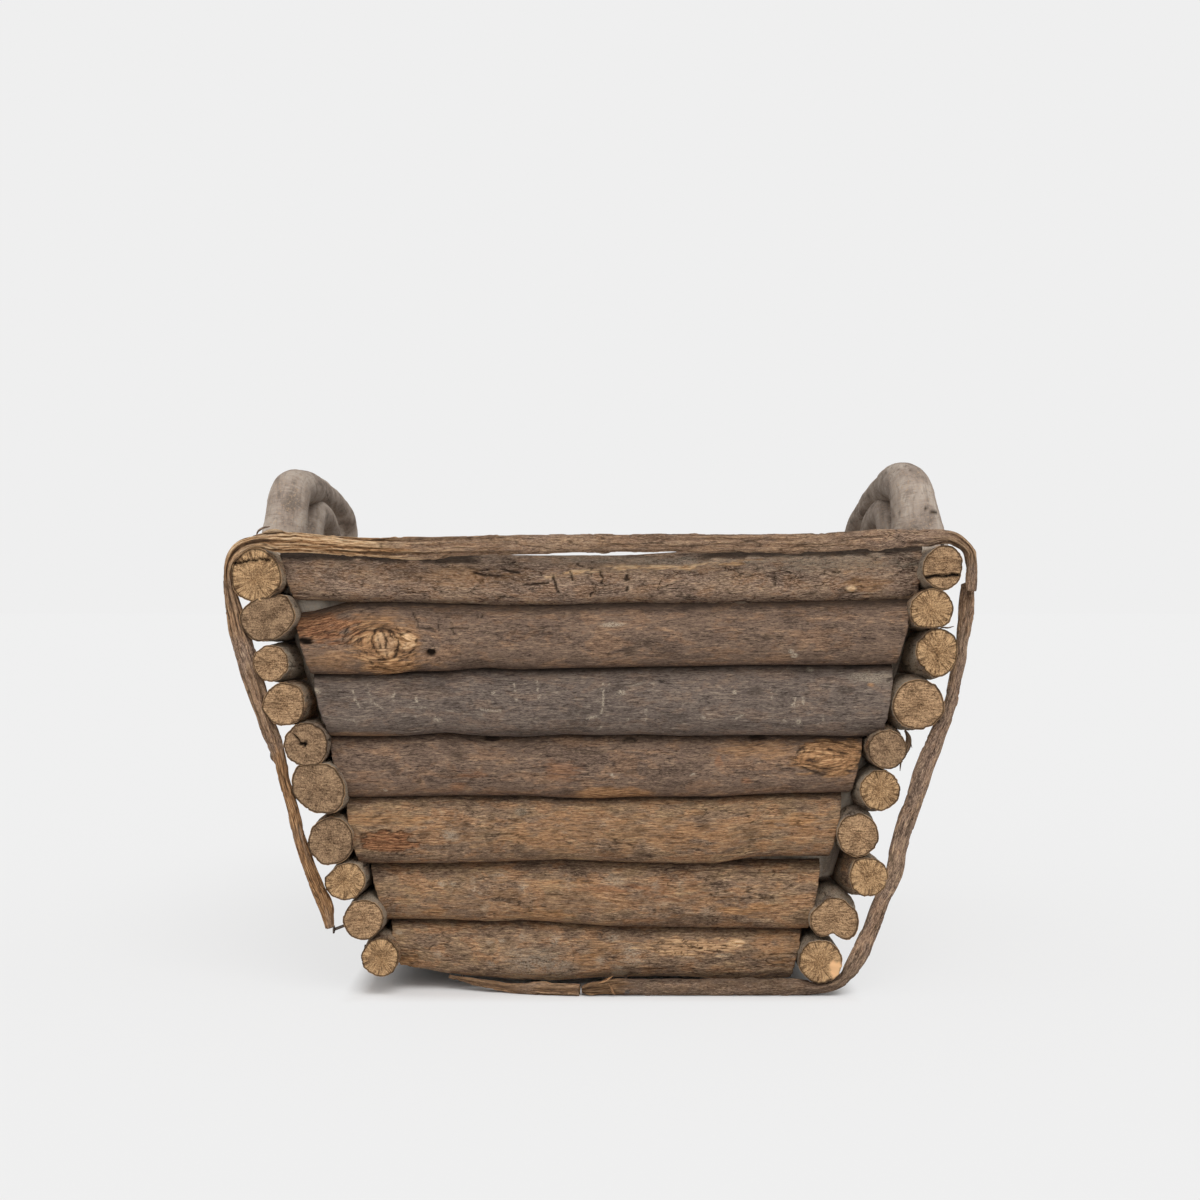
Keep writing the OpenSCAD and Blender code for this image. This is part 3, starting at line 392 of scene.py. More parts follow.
class Stick:
    """A copy of a blank with the numbers that its skin is worked out from."""

    def __init__(self, name, around, cuts, rings, seed, facing=None, crowd=0.0, squeeze=1.0):
        source = blank(around, cuts, rings)
        self.piece = source.copy()
        self.piece.data = source.data.copy()
        self.piece.name = self.piece.data.name = name
        bpy.context.scene.collection.objects.link(self.piece)
        mesh = self.piece.data
        co = np.empty(len(mesh.vertices) * 3)
        mesh.vertices.foreach_get("co", co)
        co = co.reshape(-1, 3)
        self.seed = seed
        self.rho = np.hypot(co[:, 1], co[:, 2])
        self.cap = np.where(self.rho < 0.999, np.sign(co[:, 0]), 0.0)
        self.t = np.clip(co[:, 0] + 0.5, 0, 1) ** squeeze
        self.phi = np.arctan2(co[:, 2], co[:, 1])
        if facing is not None:
            off = np.angle(np.exp(1j * (self.phi - facing)))
            self.phi = facing + off - crowd * np.sin(off)
        self.rim = ease(0.55, 1.0, self.rho)
        self.marks = {}

    def grain(self, length, radius, rho=None):
        """Straight coordinates in mm, along the stick and across it."""
        rho = self.rho if rho is None else rho
        return np.stack([self.t * length, np.cos(self.phi) * radius * rho,
                         np.sin(self.phi) * radius * rho], 1) + 211.0 * self.seed

    def finish(self, places, grain, skin, wood, node):
        """Writes the places, kept in the CAD's box, and the marks that the materials read, and takes
        the CAD node's place."""
        places = np.clip(places, *(np.array(corner) / MM for corner in cad_box))
        mesh = self.piece.data
        mesh.vertices.foreach_set("co", (places * MM).ravel())
        put(mesh, "grain", "FLOAT_VECTOR", grain)
        put(mesh, "ring", "FLOAT_VECTOR", np.stack([np.cos(self.phi), np.sin(self.phi), self.rho], 1))
        for key in ("bare", "dark", "pale", "red"):
            put(mesh, key, "FLOAT", self.marks.get(key, np.zeros(len(self.t))))
        mesh.materials.append(skin)
        mesh.materials.append(wood)
        sawn = np.array([abs(self.cap[list(f.vertices)]).max() > 0 for f in mesh.polygons])
        mesh.polygons.foreach_set("material_index", sawn.astype(np.int32))
        mesh.update()
        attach(self.piece, "root")
        if node:
            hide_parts(node)
        return self.piece


def put(mesh, name, kind, values):
    layer = mesh.attributes.new(name, kind, "POINT")
    layer.data.foreach_set("vector" if kind == "FLOAT_VECTOR" else "value",
                           np.ascontiguousarray(values, dtype=np.float32).ravel())


# Photograph pixels of points in mm, and marks placed by them.
def pixels(places):
    d = LENS_PX / (places[:, 1] - CAMERA_AT[1])
    return (PHOTO / 2 + (places[:, 0] - CAMERA_AT[0]) * d,
            PHOTO / 2 - (places[:, 2] - CAMERA_AT[2]) * d)


def blob(px, py, x, y, rx, ry, edge=0.35, ragged=None):
    """1 inside an oval mark, 0 outside it."""
    d = np.hypot((px - x) / rx, (py - y) / ry)
    if ragged is not None:
        d = d + ragged
    return ease(1 + edge, 1 - edge, d)


def stroke(px, py, points, wide):
    """1 along a line of points, fading over its half width."""
    best = np.full(len(px), 1e9)
    for (x0, y0), (x1, y1) in zip(points[:-1], points[1:]):
        dx, dy = x1 - x0, y1 - y0
        u = np.clip(((px - x0) * dx + (py - y0) * dy) / (dx * dx + dy * dy), 0, 1)
        best = np.minimum(best, np.hypot(px - x0 - u * dx, py - y0 - u * dy))
    return ease(wide, wide * 0.3, best)


# Materials. Colours are sRGB hex.
def linear(code):
    rgb = [int(code[i:i + 2], 16) / 255 for i in (1, 3, 5)]
    return tuple(c / 12.92 if c <= 0.04045 else ((c + 0.055) / 1.055) ** 2.4 for c in rgb) + (1.0,)


def node(tree, kind, settings=None, **links):
    """A node with its settings; links are sockets or values for its inputs, by name."""
    n = tree.nodes.new(kind)
    for key, value in (settings or {}).items():
        setattr(n, key, value)
    for key, value in links.items():
        socket = n.inputs[int(key[1:])] if key[0] == "i" and key[1:].isdigit() else n.inputs[key.replace("_", " ")]
        if isinstance(value, bpy.types.NodeSocket):
            tree.links.new(value, socket)
        else:
            socket.default_value = value
    return n


def attribute(tree, name):
    n = node(tree, "ShaderNodeAttribute", {"attribute_name": name})
    return n.outputs["Vector" if name in ("grain", "ring") else "Fac"]


def stretch(tree, vector, along, across):
    """The vector with its first part scaled by along and the others by across, per mm."""
    return node(tree, "ShaderNodeVectorMath", {"operation": "MULTIPLY"},
                i0=vector, i1=(along, across, across)).outputs[0]


def cloud(tree, vector, detail=4.0, rough=0.6, twist=0.0):
    return node(tree, "ShaderNodeTexNoise", {"noise_dimensions": "3D"}, Vector=vector, Scale=1.0,
                Detail=detail, Roughness=rough, Distortion=twist).outputs["Fac"]


def ramp(tree, value, *stops):
    """A colour ramp; each stop is (place, hex colour or grey level)."""
    n = node(tree, "ShaderNodeValToRGB", Fac=value)
    points = n.color_ramp.elements
    while len(points) < len(stops):
        points.new(0.5)
    for point, (at, colour) in zip(points, stops):
        point.position = at
        point.color = linear(colour) if isinstance(colour, str) else (colour, colour, colour, 1)
    return n.outputs["Color"]


def blend(tree, amount, a, b, way="MIX"):
    n = node(tree, "ShaderNodeMix", {"data_type": "RGBA", "blend_type": way, "clamp_factor": True})
    for socket, value in ((n.inputs[0], amount), (n.inputs[6], a), (n.inputs[7], b)):
        if isinstance(value, bpy.types.NodeSocket):
            tree.links.new(value, socket)
        else:
            socket.default_value = linear(value) if isinstance(value, str) else value
    return n.outputs[2]


def maths(tree, way, a, b=0.0, clamp=False):
    return node(tree, "ShaderNodeMath", {"operation": way, "use_clamp": clamp}, i0=a, i1=b).outputs[0]


def surface(name, roughness, specular=0.25):
    material = bpy.data.materials.new(name)
    material.use_nodes = True
    tree = material.node_tree
    shader = tree.nodes["Principled BSDF"]
    shader.inputs["Roughness"].default_value = roughness
    shader.inputs["Specular IOR Level"].default_value = specular
    return material, tree, shader


def cracked(tree, vector, wide):
    """1 in the cracks between the cells of a pattern, 0 inside the cells."""
    cells = node(tree, "ShaderNodeTexVoronoi", {"feature": "DISTANCE_TO_EDGE"}, Vector=vector, Scale=1.0)
    return ramp(tree, cells.outputs["Distance"], (0.0, 1.0), (wide, 0.0))


def warped(tree, vector, by, size):
    """The vector pushed about by noise of the given size."""
    push = node(tree, "ShaderNodeTexNoise", Vector=vector, Scale=size, Detail=3.0)
    push = node(tree, "ShaderNodeVectorMath", {"operation": "SUBTRACT"}, i0=push.outputs["Color"], i1=(0.5,) * 3)
    push = node(tree, "ShaderNodeVectorMath", {"operation": "MULTIPLY"}, i0=push.outputs[0], i1=(by,) * 3)
    return node(tree, "ShaderNodeVectorMath", i0=vector, i1=push.outputs[0]).outputs[0]


def bark(name, deep, body, light, worn, patch, scale=1.0, flecks=0.5, bump=0.6, patchy=0.5, cracks=0.6,
         tint=0.3):
    """Weathered bark: fine dark and light streaks along the grain, worn patches, cracked plates, and bare wood, dust
    and red rot where the skin's marks say so; the dark mark holds cracks and also painted shade. Dull, so the eye sees
    relief."""
    material, tree, shader = surface(name, 0.88, 0.15)
    grain = attribute(tree, "grain")
    streaks = cloud(tree, stretch(tree, grain, 0.15 * scale, 1.2 * scale), 8, 0.74, 0.5)
    fine = cloud(tree, stretch(tree, grain, 0.45 * scale, 2.3 * scale), 5, 0.7)
    patches = cloud(tree, stretch(tree, grain, 0.03, 0.09), 5, 0.62, 0.3)
    specks = cloud(tree, stretch(tree, grain, 1.0, 1.9), 3, 0.6)
    colour = ramp(tree, streaks, (0.38, deep), (0.46, body), (0.54, body), (0.63, light))
    colour = blend(tree, ramp(tree, patches, (0.44, 0.0), (0.62, patchy)), colour,
                   ramp(tree, streaks, (0.37, body), (0.5, worn), (0.62, patch)))
    tints = cloud(tree, stretch(tree, grain, 0.055, 0.13), 5, 0.68, 0.6)
    colour = blend(tree, ramp(tree, tints, (0.51, 0.0), (0.57, tint)), colour,
                   ramp(tree, streaks, (0.38, "#5f4433"), (0.5, "#a07654"), (0.62, "#d2a57b")))
    colour = blend(tree, ramp(tree, tints, (0.38, 0.4 * tint + 0.1), (0.46, 0.0)), colour, deep)
    colour = blend(tree, ramp(tree, patches, (0.36, 0.4), (0.46, 0.0)), colour, deep)
    colour = blend(tree, ramp(tree, fine, (0.53, 0.0), (0.63, flecks)), colour, light)
    colour = blend(tree, ramp(tree, fine, (0.37, 0.75), (0.46, 0.0)), colour, deep)
    plates = cracked(tree, warped(tree, stretch(tree, grain, 0.07 * scale, 0.30 * scale), 0.9, 1.6), 0.055)
    broken = ramp(tree, cloud(tree, stretch(tree, grain, 0.06, 0.16), 4, 0.6), (0.46, 0.0), (0.58, cracks))
    plates = maths(tree, "MULTIPLY", plates, broken)
    colour = blend(tree, plates, colour, "#1f1711")
    fibres = cloud(tree, stretch(tree, grain, 0.13, 1.4), 6, 0.74, 0.5)
    wood = ramp(tree, fibres, (0.39, "#402c1f"), (0.46, "#84603f"), (0.53, "#b1835a"), (0.62, "#dcb080"))
    colour = blend(tree, attribute(tree, "bare"), colour, wood)
    rot = ramp(tree, fibres, (0.39, "#38241a"), (0.48, "#875a3f"), (0.60, "#c18f66"))
    colour = blend(tree, attribute(tree, "red"), colour, rot)
    fresh = ramp(tree, fibres, (0.40, "#a0754d"), (0.48, "#dab083"), (0.56, "#f2d3ab"))
    dust = maths(tree, "MAXIMUM", ramp(tree, specks, (0.44, 0.1), (0.53, 1.0)), attribute(tree, "bare"))
    dust = maths(tree, "MULTIPLY", attribute(tree, "pale"), dust, True)
    colour = blend(tree, dust, colour, blend(tree, attribute(tree, "bare"), "#b9ab96", fresh))
    colour = blend(tree, attribute(tree, "dark"), colour, "#211811")
    tree.links.new(colour, shader.inputs["Base Color"])
    height = maths(tree, "ADD", streaks, maths(tree, "MULTIPLY", fine, 0.5))
    height = maths(tree, "SUBTRACT", height, maths(tree, "MULTIPLY", plates, 0.35))
    relief = node(tree, "ShaderNodeBump", Strength=bump, Distance=0.0016, Height=height)
    tree.links.new(relief.outputs[0], shader.inputs["Normal"])
    return material


def smooth_bark(name, deep, body, light, tan):
    """Smooth grey bark: wrinkles round the branch, tan and pale grains, few fine cracks."""
    material, tree, shader = surface(name, 0.85, 0.18)
    grain = attribute(tree, "grain")
    tone = cloud(tree, stretch(tree, grain, 0.05, 0.10), 4, 0.6, 0.4)
    wrinkles = cloud(tree, stretch(tree, grain, 0.9, 0.16), 6, 0.7, 0.8)
    grains = cloud(tree, stretch(tree, grain, 0.9, 0.9), 4, 0.7)
    lines = cloud(tree, stretch(tree, grain, 0.08, 0.7), 6, 0.7, 0.6)
    colour = ramp(tree, tone, (0.36, deep), (0.47, body), (0.66, light))
    colour = blend(tree, ramp(tree, wrinkles, (0.37, 0.55), (0.46, 0.0)), colour, deep)
    colour = blend(tree, ramp(tree, lines, (0.38, 0.5), (0.46, 0.0)), colour, deep)
    colour = blend(tree, ramp(tree, grains, (0.54, 0.0), (0.64, 0.6)), colour, tan)
    colour = blend(tree, ramp(tree, wrinkles, (0.55, 0.0), (0.66, 0.5)), colour, light)
    colour = blend(tree, attribute(tree, "pale"), colour, light)
    colour = blend(tree, attribute(tree, "dark"), colour, "#33291f")
    tree.links.new(colour, shader.inputs["Base Color"])
    height = maths(tree, "ADD", wrinkles, maths(tree, "MULTIPLY", grains, 0.5))
    relief = node(tree, "ShaderNodeBump", Strength=0.45, Distance=0.0011, Height=height)
    tree.links.new(relief.outputs[0], shader.inputs["Normal"])
    return material


def sawn(name, wood, dark, pale, rays=0.5, saw_turn=0.5, saws=0.5, rim="#33261c"):
    """A sawn end: pores and rays from the heart, saw lines across, a dark rim of bark."""
    material, tree, shader = surface(name, 0.9, 0.1)
    grain = attribute(tree, "grain")
    ring = attribute(tree, "ring")
    out = node(tree, "ShaderNodeSeparateXYZ", Vector=ring).outputs[2]
    pores = cloud(tree, stretch(tree, grain, 1.1, 1.3), 6, 0.8)
    spokes = cloud(tree, warped(tree, node(tree, "ShaderNodeVectorMath", {"operation": "MULTIPLY"}, i0=ring,
                                           i1=(13.0, 13.0, 2.0)).outputs[0], 0.8, 0.5), 3, 0.55)
    turned = node(tree, "ShaderNodeMapping", {"vector_type": "POINT"}, Vector=grain, Rotation=(saw_turn, 0, 0),
                  Scale=(1.0, 0.16, 1.5))
    saw = cloud(tree, turned.outputs[0], 5, 0.7, 0.3)
    blotch = cloud(tree, stretch(tree, grain, 0.2, 0.15), 5, 0.6, 0.5)
    reach = ramp(tree, out, (0.15, 0.0), (0.75, rays))
    colour = ramp(tree, pores, (0.41, dark), (0.47, wood), (0.52, wood), (0.59, pale))
    colour = blend(tree, maths(tree, "MULTIPLY", reach, ramp(tree, spokes, (0.41, 1.0), (0.47, 0.0))), colour, dark)
    colour = blend(tree, maths(tree, "MULTIPLY", reach, ramp(tree, spokes, (0.54, 0.0), (0.63, 0.8))), colour, pale)
    colour = blend(tree, ramp(tree, saw, (0.53, 0.0), (0.62, saws)), colour, pale)
    colour = blend(tree, ramp(tree, saw, (0.38, saws * 1.2), (0.46, 0.0)), colour, dark)
    colour = blend(tree, ramp(tree, blotch, (0.40, 0.35), (0.49, 0.0)), colour, dark)
    colour = blend(tree, ramp(tree, blotch, (0.53, 0.0), (0.63, 0.25)), colour, pale)
    edge = maths(tree, "ADD", out, maths(tree, "MULTIPLY", pores, 0.10))
    colour = blend(tree, ramp(tree, edge, (0.95, 0.0), (1.02, 0.85)), colour, rim)
    colour = blend(tree, attribute(tree, "pale"), colour, "#edbd8c")
    colour = blend(tree, attribute(tree, "dark"), colour, "#17100b")
    tree.links.new(colour, shader.inputs["Base Color"])
    height = maths(tree, "ADD", pores, maths(tree, "MULTIPLY", maths(tree, "ADD", saw, blotch), 0.4))
    relief = node(tree, "ShaderNodeBump", Strength=0.7, Distance=0.0014, Height=height)
    tree.links.new(relief.outputs[0], shader.inputs["Normal"])
    return material


brown_bark = bark("alder_bark_brown", "#33271f", "#866d5a", "#c8a988", "#957859", "#cfac80", flecks=0.5, patchy=0.8,
                  tint=0.75, bump=0.8)
rim_bark = bark("alder_bark_cracked", "#2f241c", "#937a69", "#d6b99e", "#a08468", "#d3b18b", flecks=0.85, patchy=0.6,
                cracks=0.9, bump=0.9, tint=0.45)
dark_bark = bark("alder_bark_dark", "#332822", "#735f52", "#a38971", "#7f6858", "#aa8e70", flecks=0.5, cracks=0.45)
slate_bark = bark("alder_bark_slate", "#322a26", "#6a5d55", "#948677", "#73645b", "#988571", flecks=0.4, cracks=0.25,
                  bump=0.5, tint=0.12)
side_bark = bark("willow_bark_grey", "#40352c", "#8d7d6e", "#b5a38f", "#978675", "#bba68c", flecks=0.4)
withy_bark = bark("withy_bark", "#33271f", "#917767", "#d2b496", "#a2866b", "#dcbb93", scale=1.25, flecks=0.85,
                  bump=0.9, cracks=0.7)
grey_bark = smooth_bark("ash_bark_grey", "#766a60", "#998a7e", "#b9ac9f", "#b79c80")
# painted light: the posts' bark is a paler copy of the grey bark, so that the posts look lit where they show in the
# shaded gaps between the twig ends
post_bark_painted_lit = smooth_bark("ash_bark_painted_lit", "#8f8377", "#b5a99b", "#d2c7b7", "#cdb496")
sawn_gold = sawn("alder_sawn_end", "#aa8660", "#533c2a", "#e0ba8c", rays=0.8, saws=0.3)
sawn_wood = sawn("willow_sawn_end", "#a07f5f", "#4c3828", "#d6b188", rays=0.35, saw_turn=-0.8, saws=0.75)
sawn_dark = sawn("weathered_sawn_end", "#8d7158", "#443224", "#c0a07c", rays=0.3, saw_turn=-0.9, saws=0.5)


# The joints between the front twigs, from the rim down: heights in pixels of the photograph
# every 40 pixels from 280 to 920, upper twig's lower side and lower twig's upper side.
JOINT_X = np.arange(280, 921, 40)
UPPER_EDGE = (
    (549, 549, 550, 551, 552, 553, 554.8, 555, 554.9, 554.6, 551.5, 547, 546, 546, 545, 543, 541),
    (617, 611, 600.1, 599.6, 601.4, 602.4, 603.9, 603.9, 602.1, 601.6, 601.6, 601.6, 600.6, 600.1, 598.9, 597.9, 597.6),
    (670.6, 670.9, 671.6, 668.9, 668.6, 664.9, 666.6, 665.9, 665.1, 663.6, 663.1, 662.4, 661.9, 662.1, 662.1, 661.6, 661.1),
    (732.9, 732.9, 733.4, 733.4, 729.9, 733.2, 734.2, 731.4, 732.9, 731.4, 733.2, 732.7, 732.2, 732.4, 733.2, 732.9, 732.9),
    (793.5, 793.5, 794.3, 793.5, 792.8, 792.8, 792.8, 795, 795.8, 793.8, 794.3, 794, 791.8, 790.3, 789.5, 789, 789),
    (859.9, 859.9, 860.2, 860.2, 860.2, 858.9, 857.7, 856.7, 857.7, 859.2, 860.2, 859.7, 860.3, 860.3, 860.3, 857.9, 857.9),
    (917.3, 917.3, 917.3, 917.3, 917.6, 919.3, 918.6, 920.1, 922.8, 923.3, 924.1, 924.3, 925.1, 925.3, 924.8, 924.8, 924.8))
LOWER_EDGE = (
    (600, 600.5, 602.9, 602.4, 604.1, 605.1, 606.6, 606.6, 604.9, 604.4, 604.4, 604.4, 603.4, 602.9, 601.6, 600.6, 600.4),
    (673.4, 673.6, 674.4, 671.6, 671.4, 667.6, 669.4, 668.6, 667.9, 666.4, 665.9, 665.1, 664.6, 664.9, 664.9, 664.4, 663.9),
    (735.7, 735.7, 736.2, 736.2, 732.7, 735.9, 736.9, 734.2, 735.7, 734.2, 735.9, 735.4, 734.9, 735.2, 735.9, 735.7, 735.7),
    (796.3, 796.3, 797, 796.3, 795.5, 795.5, 795.5, 797.8, 798.5, 796.5, 797, 796.8, 794.5, 793, 792.3, 791.8, 791.8),
    (862.7, 862.7, 862.9, 862.9, 862.9, 861.7, 860.4, 859.4, 860.4, 861.9, 862.9, 862.4, 856, 856, 856, 860.7, 860.7),
    (920.1, 920.1, 920.1, 920.1, 920.3, 922.1, 921.3, 922.8, 925.6, 926.1, 926.8, 927.1, 927.8, 928.1, 927.6, 927.6, 927.6),
    (960, 960, 962, 966, 974, 977.5, 980, 980, 977.5, 976.5, 976.5, 979, 979.5, 977.5, 975, 975, 975))
# Left and right ends of the front twigs, from the rim down: x of the upper and lower corner and
# how far from the front plane they are taken, in mm.
FRONT_ENDS = ((-200.0, -189.5, 199.5, 194.0), (-189.0, -178.5, 190.5, 180.5),
              (-178.1, -167.0, 179.5, 172.0), (-167.6, -158.6, 161.6, 152.8),
              (-157.7, -148.5, 148.3, 139.6), (-143.5, -132.4, 135.2, 126.8),
              (-130.5, -124.0, 124.0, 116.0))
EDGE_PX_PER_MM = 1.62
# How dark the top of each front twig is in the shade of the one above it, from the rim down, and
# how many pixels down that shade begins to fade.
SHADES = ((0.9, 8), (0.72, 3), (0.6, 1), (0.4, 1), (0.6, 2), (0.45, 1), (0.5, 1))
# Knots that the grain of the front twigs runs round: the middle and reach in pixels, and how much.
KNOTS = {0: ((853, 588, 16, 8, 0.7),), 1: ((383, 643, 44, 24, 0.9), (737, 606, 16, 9, 0.7)),
         3: ((816, 757, 38, 17, 0.85), (629, 741, 14, 8, 0.7), (754, 738, 14, 8, 0.7), (494, 738, 14, 8, 0.7)),
         5: ((478, 888, 16, 8, 0.6),), 6: ((537, 964, 34, 14, 0.5), (630, 955, 16, 10, 0.6))}


def photo_z(py):
    return CAMERA_AT[2] + (PHOTO / 2 - py) / EDGE_PX_PER_MM


def front_marks(k, px, py, rag):
    """Knots, cracks, bare wood and dust of the front twigs, k from 0 at the rim, by their place in
    the photograph. Returns (relief in mm, {mark: amount})."""
    lift = np.zeros(len(px))
    bare, dark, pale, red = (np.zeros(len(px)) for _ in range(4))

    px, py = px + 1.5 * rag, py + 1.3 * np.roll(rag, 7)
    whole = 0.25 + 0.75 * ease(-0.35, 0.15, rag)

    def add(mark, amount):
        np.maximum(mark, amount, out=mark)

    def line(points, wide):
        return stroke(px, py, points, wide) * whole

    if k == 0:
        seam = line([(548, 577), (565, 573), (585, 572), (610, 568), (640, 567), (668, 567),
                               (690, 568), (712, 564), (760, 561)], 4.0)
        seam = seam * ease(-0.5, 0.1, rag)
        add(bare, seam)
        add(pale, seam * ease(760, 700, px))
        for pts in (((554, 575), (556, 588), (560, 598)), ((592, 569), (594, 562)), ((572, 573), (573, 580)),
                    ((628, 572), (629, 582), (626, 592)), ((600, 568), (603, 578), (600, 590)),
                    ((590, 596), (594, 586), (588, 578)), ((462, 566), (480, 570), (500, 569), (520, 573)),
                    ((470, 572), (490, 576), (512, 575)), ((774, 574), (776, 586)), ((524, 585), (548, 583)),
                    ((576, 560), (582, 566)), ((560, 596), (566, 590)), ((628, 571), (626, 581), (627, 590))):
            crack = line(pts, 1.9)
            add(dark, 0.9 * crack)
            lift -= 0.7 * crack
        knot = blob(px, py, 853, 588, 4.5, 3.2)
        add(bare, knot)
        add(pale, knot)
        lift += 1.2 * knot
        add(bare, 0.55 * blob(px, py, 868, 584, 22, 7, 0.5, 0.5 * rag))
        add(bare, 0.35 * blob(px, py, 450, 577, 60, 9, 0.6, 0.6 * rag))
        add(pale, 0.5 * blob(px, py, 690, 561, 100, 3.5, 0.6, 0.6 * rag))
        add(pale, 0.45 * blob(px, py, 830, 562, 70, 9, 0.6, 0.7 * rag))
    if k == 1:
        eye = np.hypot((px - 385) / 12.5, (py - 643) / 13.5)
        wood = blob(px, py, 383, 644, 34, 27, 0.35, 0.35 * rag)
        lobe = blob(px, py, 405, 640, 13, 8.5, 0.25)
        lip = blob(px, py, 385, 664, 27, 9, 0.4, 0.3 * rag)
        add(bare, np.maximum(np.maximum(0.75 * wood, lobe), 0.95 * lip))
        swirl = np.hypot((px - 383) / 1.25, py - 643)
        rings = np.sin(swirl * 1.15 + 2.2 * rag) * blob(px, py, 378, 640, 42, 30, 0.4)
        lift += 0.35 * rings + 3.2 * blob(px, py, 384, 643, 30, 24, 0.7) - 0.9 * ease(1.3, 1.0, eye) * ease(0.75, 1.0, eye)
        lift += 1.0 * lobe + 1.4 * lip + 0.5 * ease(0.9, 0.3, eye)
        add(dark, 0.6 * ease(0.55, 0.95, rings) * wood * whole * ease(0.9, 1.3, eye))
        add(dark, 0.95 * ease(1.18, 1.06, eye) * ease(0.92, 1.02, eye) * ease(-0.7, 0.0, rag + 0.3))
        add(pale, 0.45 * lobe * ease(0.6, 1.0, lobe) + 0.35 * ease(0.95, 0.6, eye))
        for pts in (((384, 631), (387, 640), (384, 650), (386, 656)), ((390, 630), (394, 640), (399, 643), (393, 652)),
                    ((378, 636), (380, 648)), ((404, 656), (413, 648), (417, 640)), ((374, 655), (384, 658), (400, 654)),
                    ((398, 628), (402, 634), (412, 631))):
            crack = line(pts, 1.5)
            add(dark, 0.85 * crack)
            lift -= 0.8 * crack
        for pts in (((343, 640), (350, 628), (358, 617), (370, 609), (388, 605)), ((349, 643), (356, 631), (364, 620), (378, 613)),
                    ((356, 645), (360, 634), (368, 625)), ((362, 655), (372, 664), (392, 668), (408, 661)),
                    ((416, 612), (420, 620), (419, 628)), ((340, 632), (330, 633), (312, 637)),
                    ((418, 628), (440, 629), (470, 628)), ((440, 616), (440, 632)), ((478, 612), (481, 620), (486, 613)),
                    ((453, 622), (455, 634)), ((524, 630), (545, 628)), ((562, 630), (570, 638))):
            crack = line(pts, 1.3)
            add(dark, 0.8 * crack)
            lift -= 0.6 * crack
        splinter = blob(px, py, 318, 627, 34, 15, 0.3, 0.5 * rag)
        add(red, 0.9 * splinter)
        threads = np.sin(py * 2.3 + 2.5 * rag)
        lift += splinter * (0.5 * threads - 0.5)
        add(dark, 0.5 * splinter * ease(0.3, 0.9, -threads))
        hollow = blob(px, py, 306, 641, 7.5, 4.0, 0.3, 0.2 * rag)
        lift -= 4.0 * hollow
        add(dark, hollow)
        hole = blob(px, py, 429, 653, 5.0, 3.6, 0.3, 0.2 * rag)
        lift -= 3.0 * hole
        add(dark, hole)
        for x, y, r in ((630, 651, 4.5), (648, 646, 3.0), (768, 638, 3.5)):
            spot = blob(px, py, x, y, r * 1.5, r, 0.4, 0.4 * rag)
            add(dark, 0.45 * spot)
            lift -= 0.4 * spot
        stump = blob(px, py, 737, 605, 7.5, 4.2, 0.35)
        lift += 2.0 * stump
        add(dark, 0.6 * line([(729, 604), (737, 609), (745, 604)], 1.6))
        add(pale, 0.6 * blob(px, py, 738, 604, 5, 2.2))
        add(pale, blob(px, py, 797, 655, 3.5, 2.2) + blob(px, py, 794, 651, 2.5, 2) + 0.7 * blob(px, py, 614, 624, 8, 2.5, 0.5, rag))
        add(bare, 0.5 * line([(430, 663), (442, 665)], 2.5) + 0.4 * blob(px, py, 330, 660, 30, 8, 0.5, 0.5 * rag))
    if k == 2:
        for pts, much in ((((356, 691), (357, 700), (359, 707)), 1), (((397, 691), (393, 702)), 0.9),
                          (((372, 685), (372, 704)), 0.45), (((375, 703), (381, 708)), 0.8), (((417, 698), (418, 702)), 0.9),
                          (((516, 683), (517, 700)), 0.7), (((539, 682), (540, 698)), 0.75), (((604, 681), (604, 700), (602, 712)), 0.75),
                          (((592, 690), (603, 688)), 0.8), (((609, 690), (610, 682)), 0.6), (((590, 719), (602, 713)), 0.7),
                          (((400, 707), (425, 707)), 0.5), (((480, 710), (500, 711)), 0.55), (((566, 712), (582, 714)), 0.7),
                          (((585, 719), (600, 714)), 0.6), (((795, 698), (795, 705)), 0.8), (((770, 689), (772, 699)), 0.7),
                          (((776, 690), (774, 696)), 0.6), (((792, 705), (799, 706)), 1), (((803, 697), (804, 703)), 0.8),
                          (((785, 719), (796, 720)), 0.8), (((737, 718), (744, 715)), 0.7), (((632, 686), (650, 681), (655, 684)), 0.5),
                          (((647, 708), (646, 720)), 0.45), (((674, 740), (675, 745)), 0.5), (((848, 720), (854, 721)), 0.6),
                          (((335, 718), (350, 720)), 0.45), (((350, 716), (352, 724)), 0.4)):
            add(pale, much * line(pts, 1.5) * ease(-0.7, 0.1, rag))
        for x, y, r in ((320, 691, 3), (621, 692, 2.5), (703, 716, 1.8), (800, 720, 2), (857, 706, 1.6), (826, 719, 1.5),
                        (494, 693, 1.6), (433, 718, 3), (600, 727, 2), (808, 669, 3.5), (734, 692, 2), (628, 720, 2)):
            add(pale, 0.7 * blob(px, py, x, y, r, r * 0.8, 0.5, 0.6 * rag))
        for x, y, rx, ry in ((754, 691, 7, 4), (845, 690, 8, 4)):
            spot = blob(px, py, x, y, rx, ry, 0.5, 0.5 * rag)
            add(dark, 0.4 * spot)
            lift += 0.4 * spot
        add(bare, 0.6 * blob(px, py, 869, 685, 3, 1.8, 0.4) + 0.4 * blob(px, py, 350, 735, 40, 3, 0.5))
        add(pale, 0.5 * blob(px, py, 868, 678, 20, 5, 0.6, 0.7 * rag))
    if k == 3:
        wood = blob(px, py, 828, 757, 37, 17, 0.2, 0.35 * rag)
        streak = blob(px, py, 760, 750, 42, 8, 0.4, 0.5 * rag)
        foot = blob(px, py, 612, 794, 36, 7.5, 0.3, 0.35 * rag) * ease(0, 4, py - 784)
        add(bare, np.maximum(np.maximum(0.85 * wood, 0.5 * streak), 0.75 * foot))
        eye = np.hypot((px - 814) / 6.5, (py - 755) / 8.0)
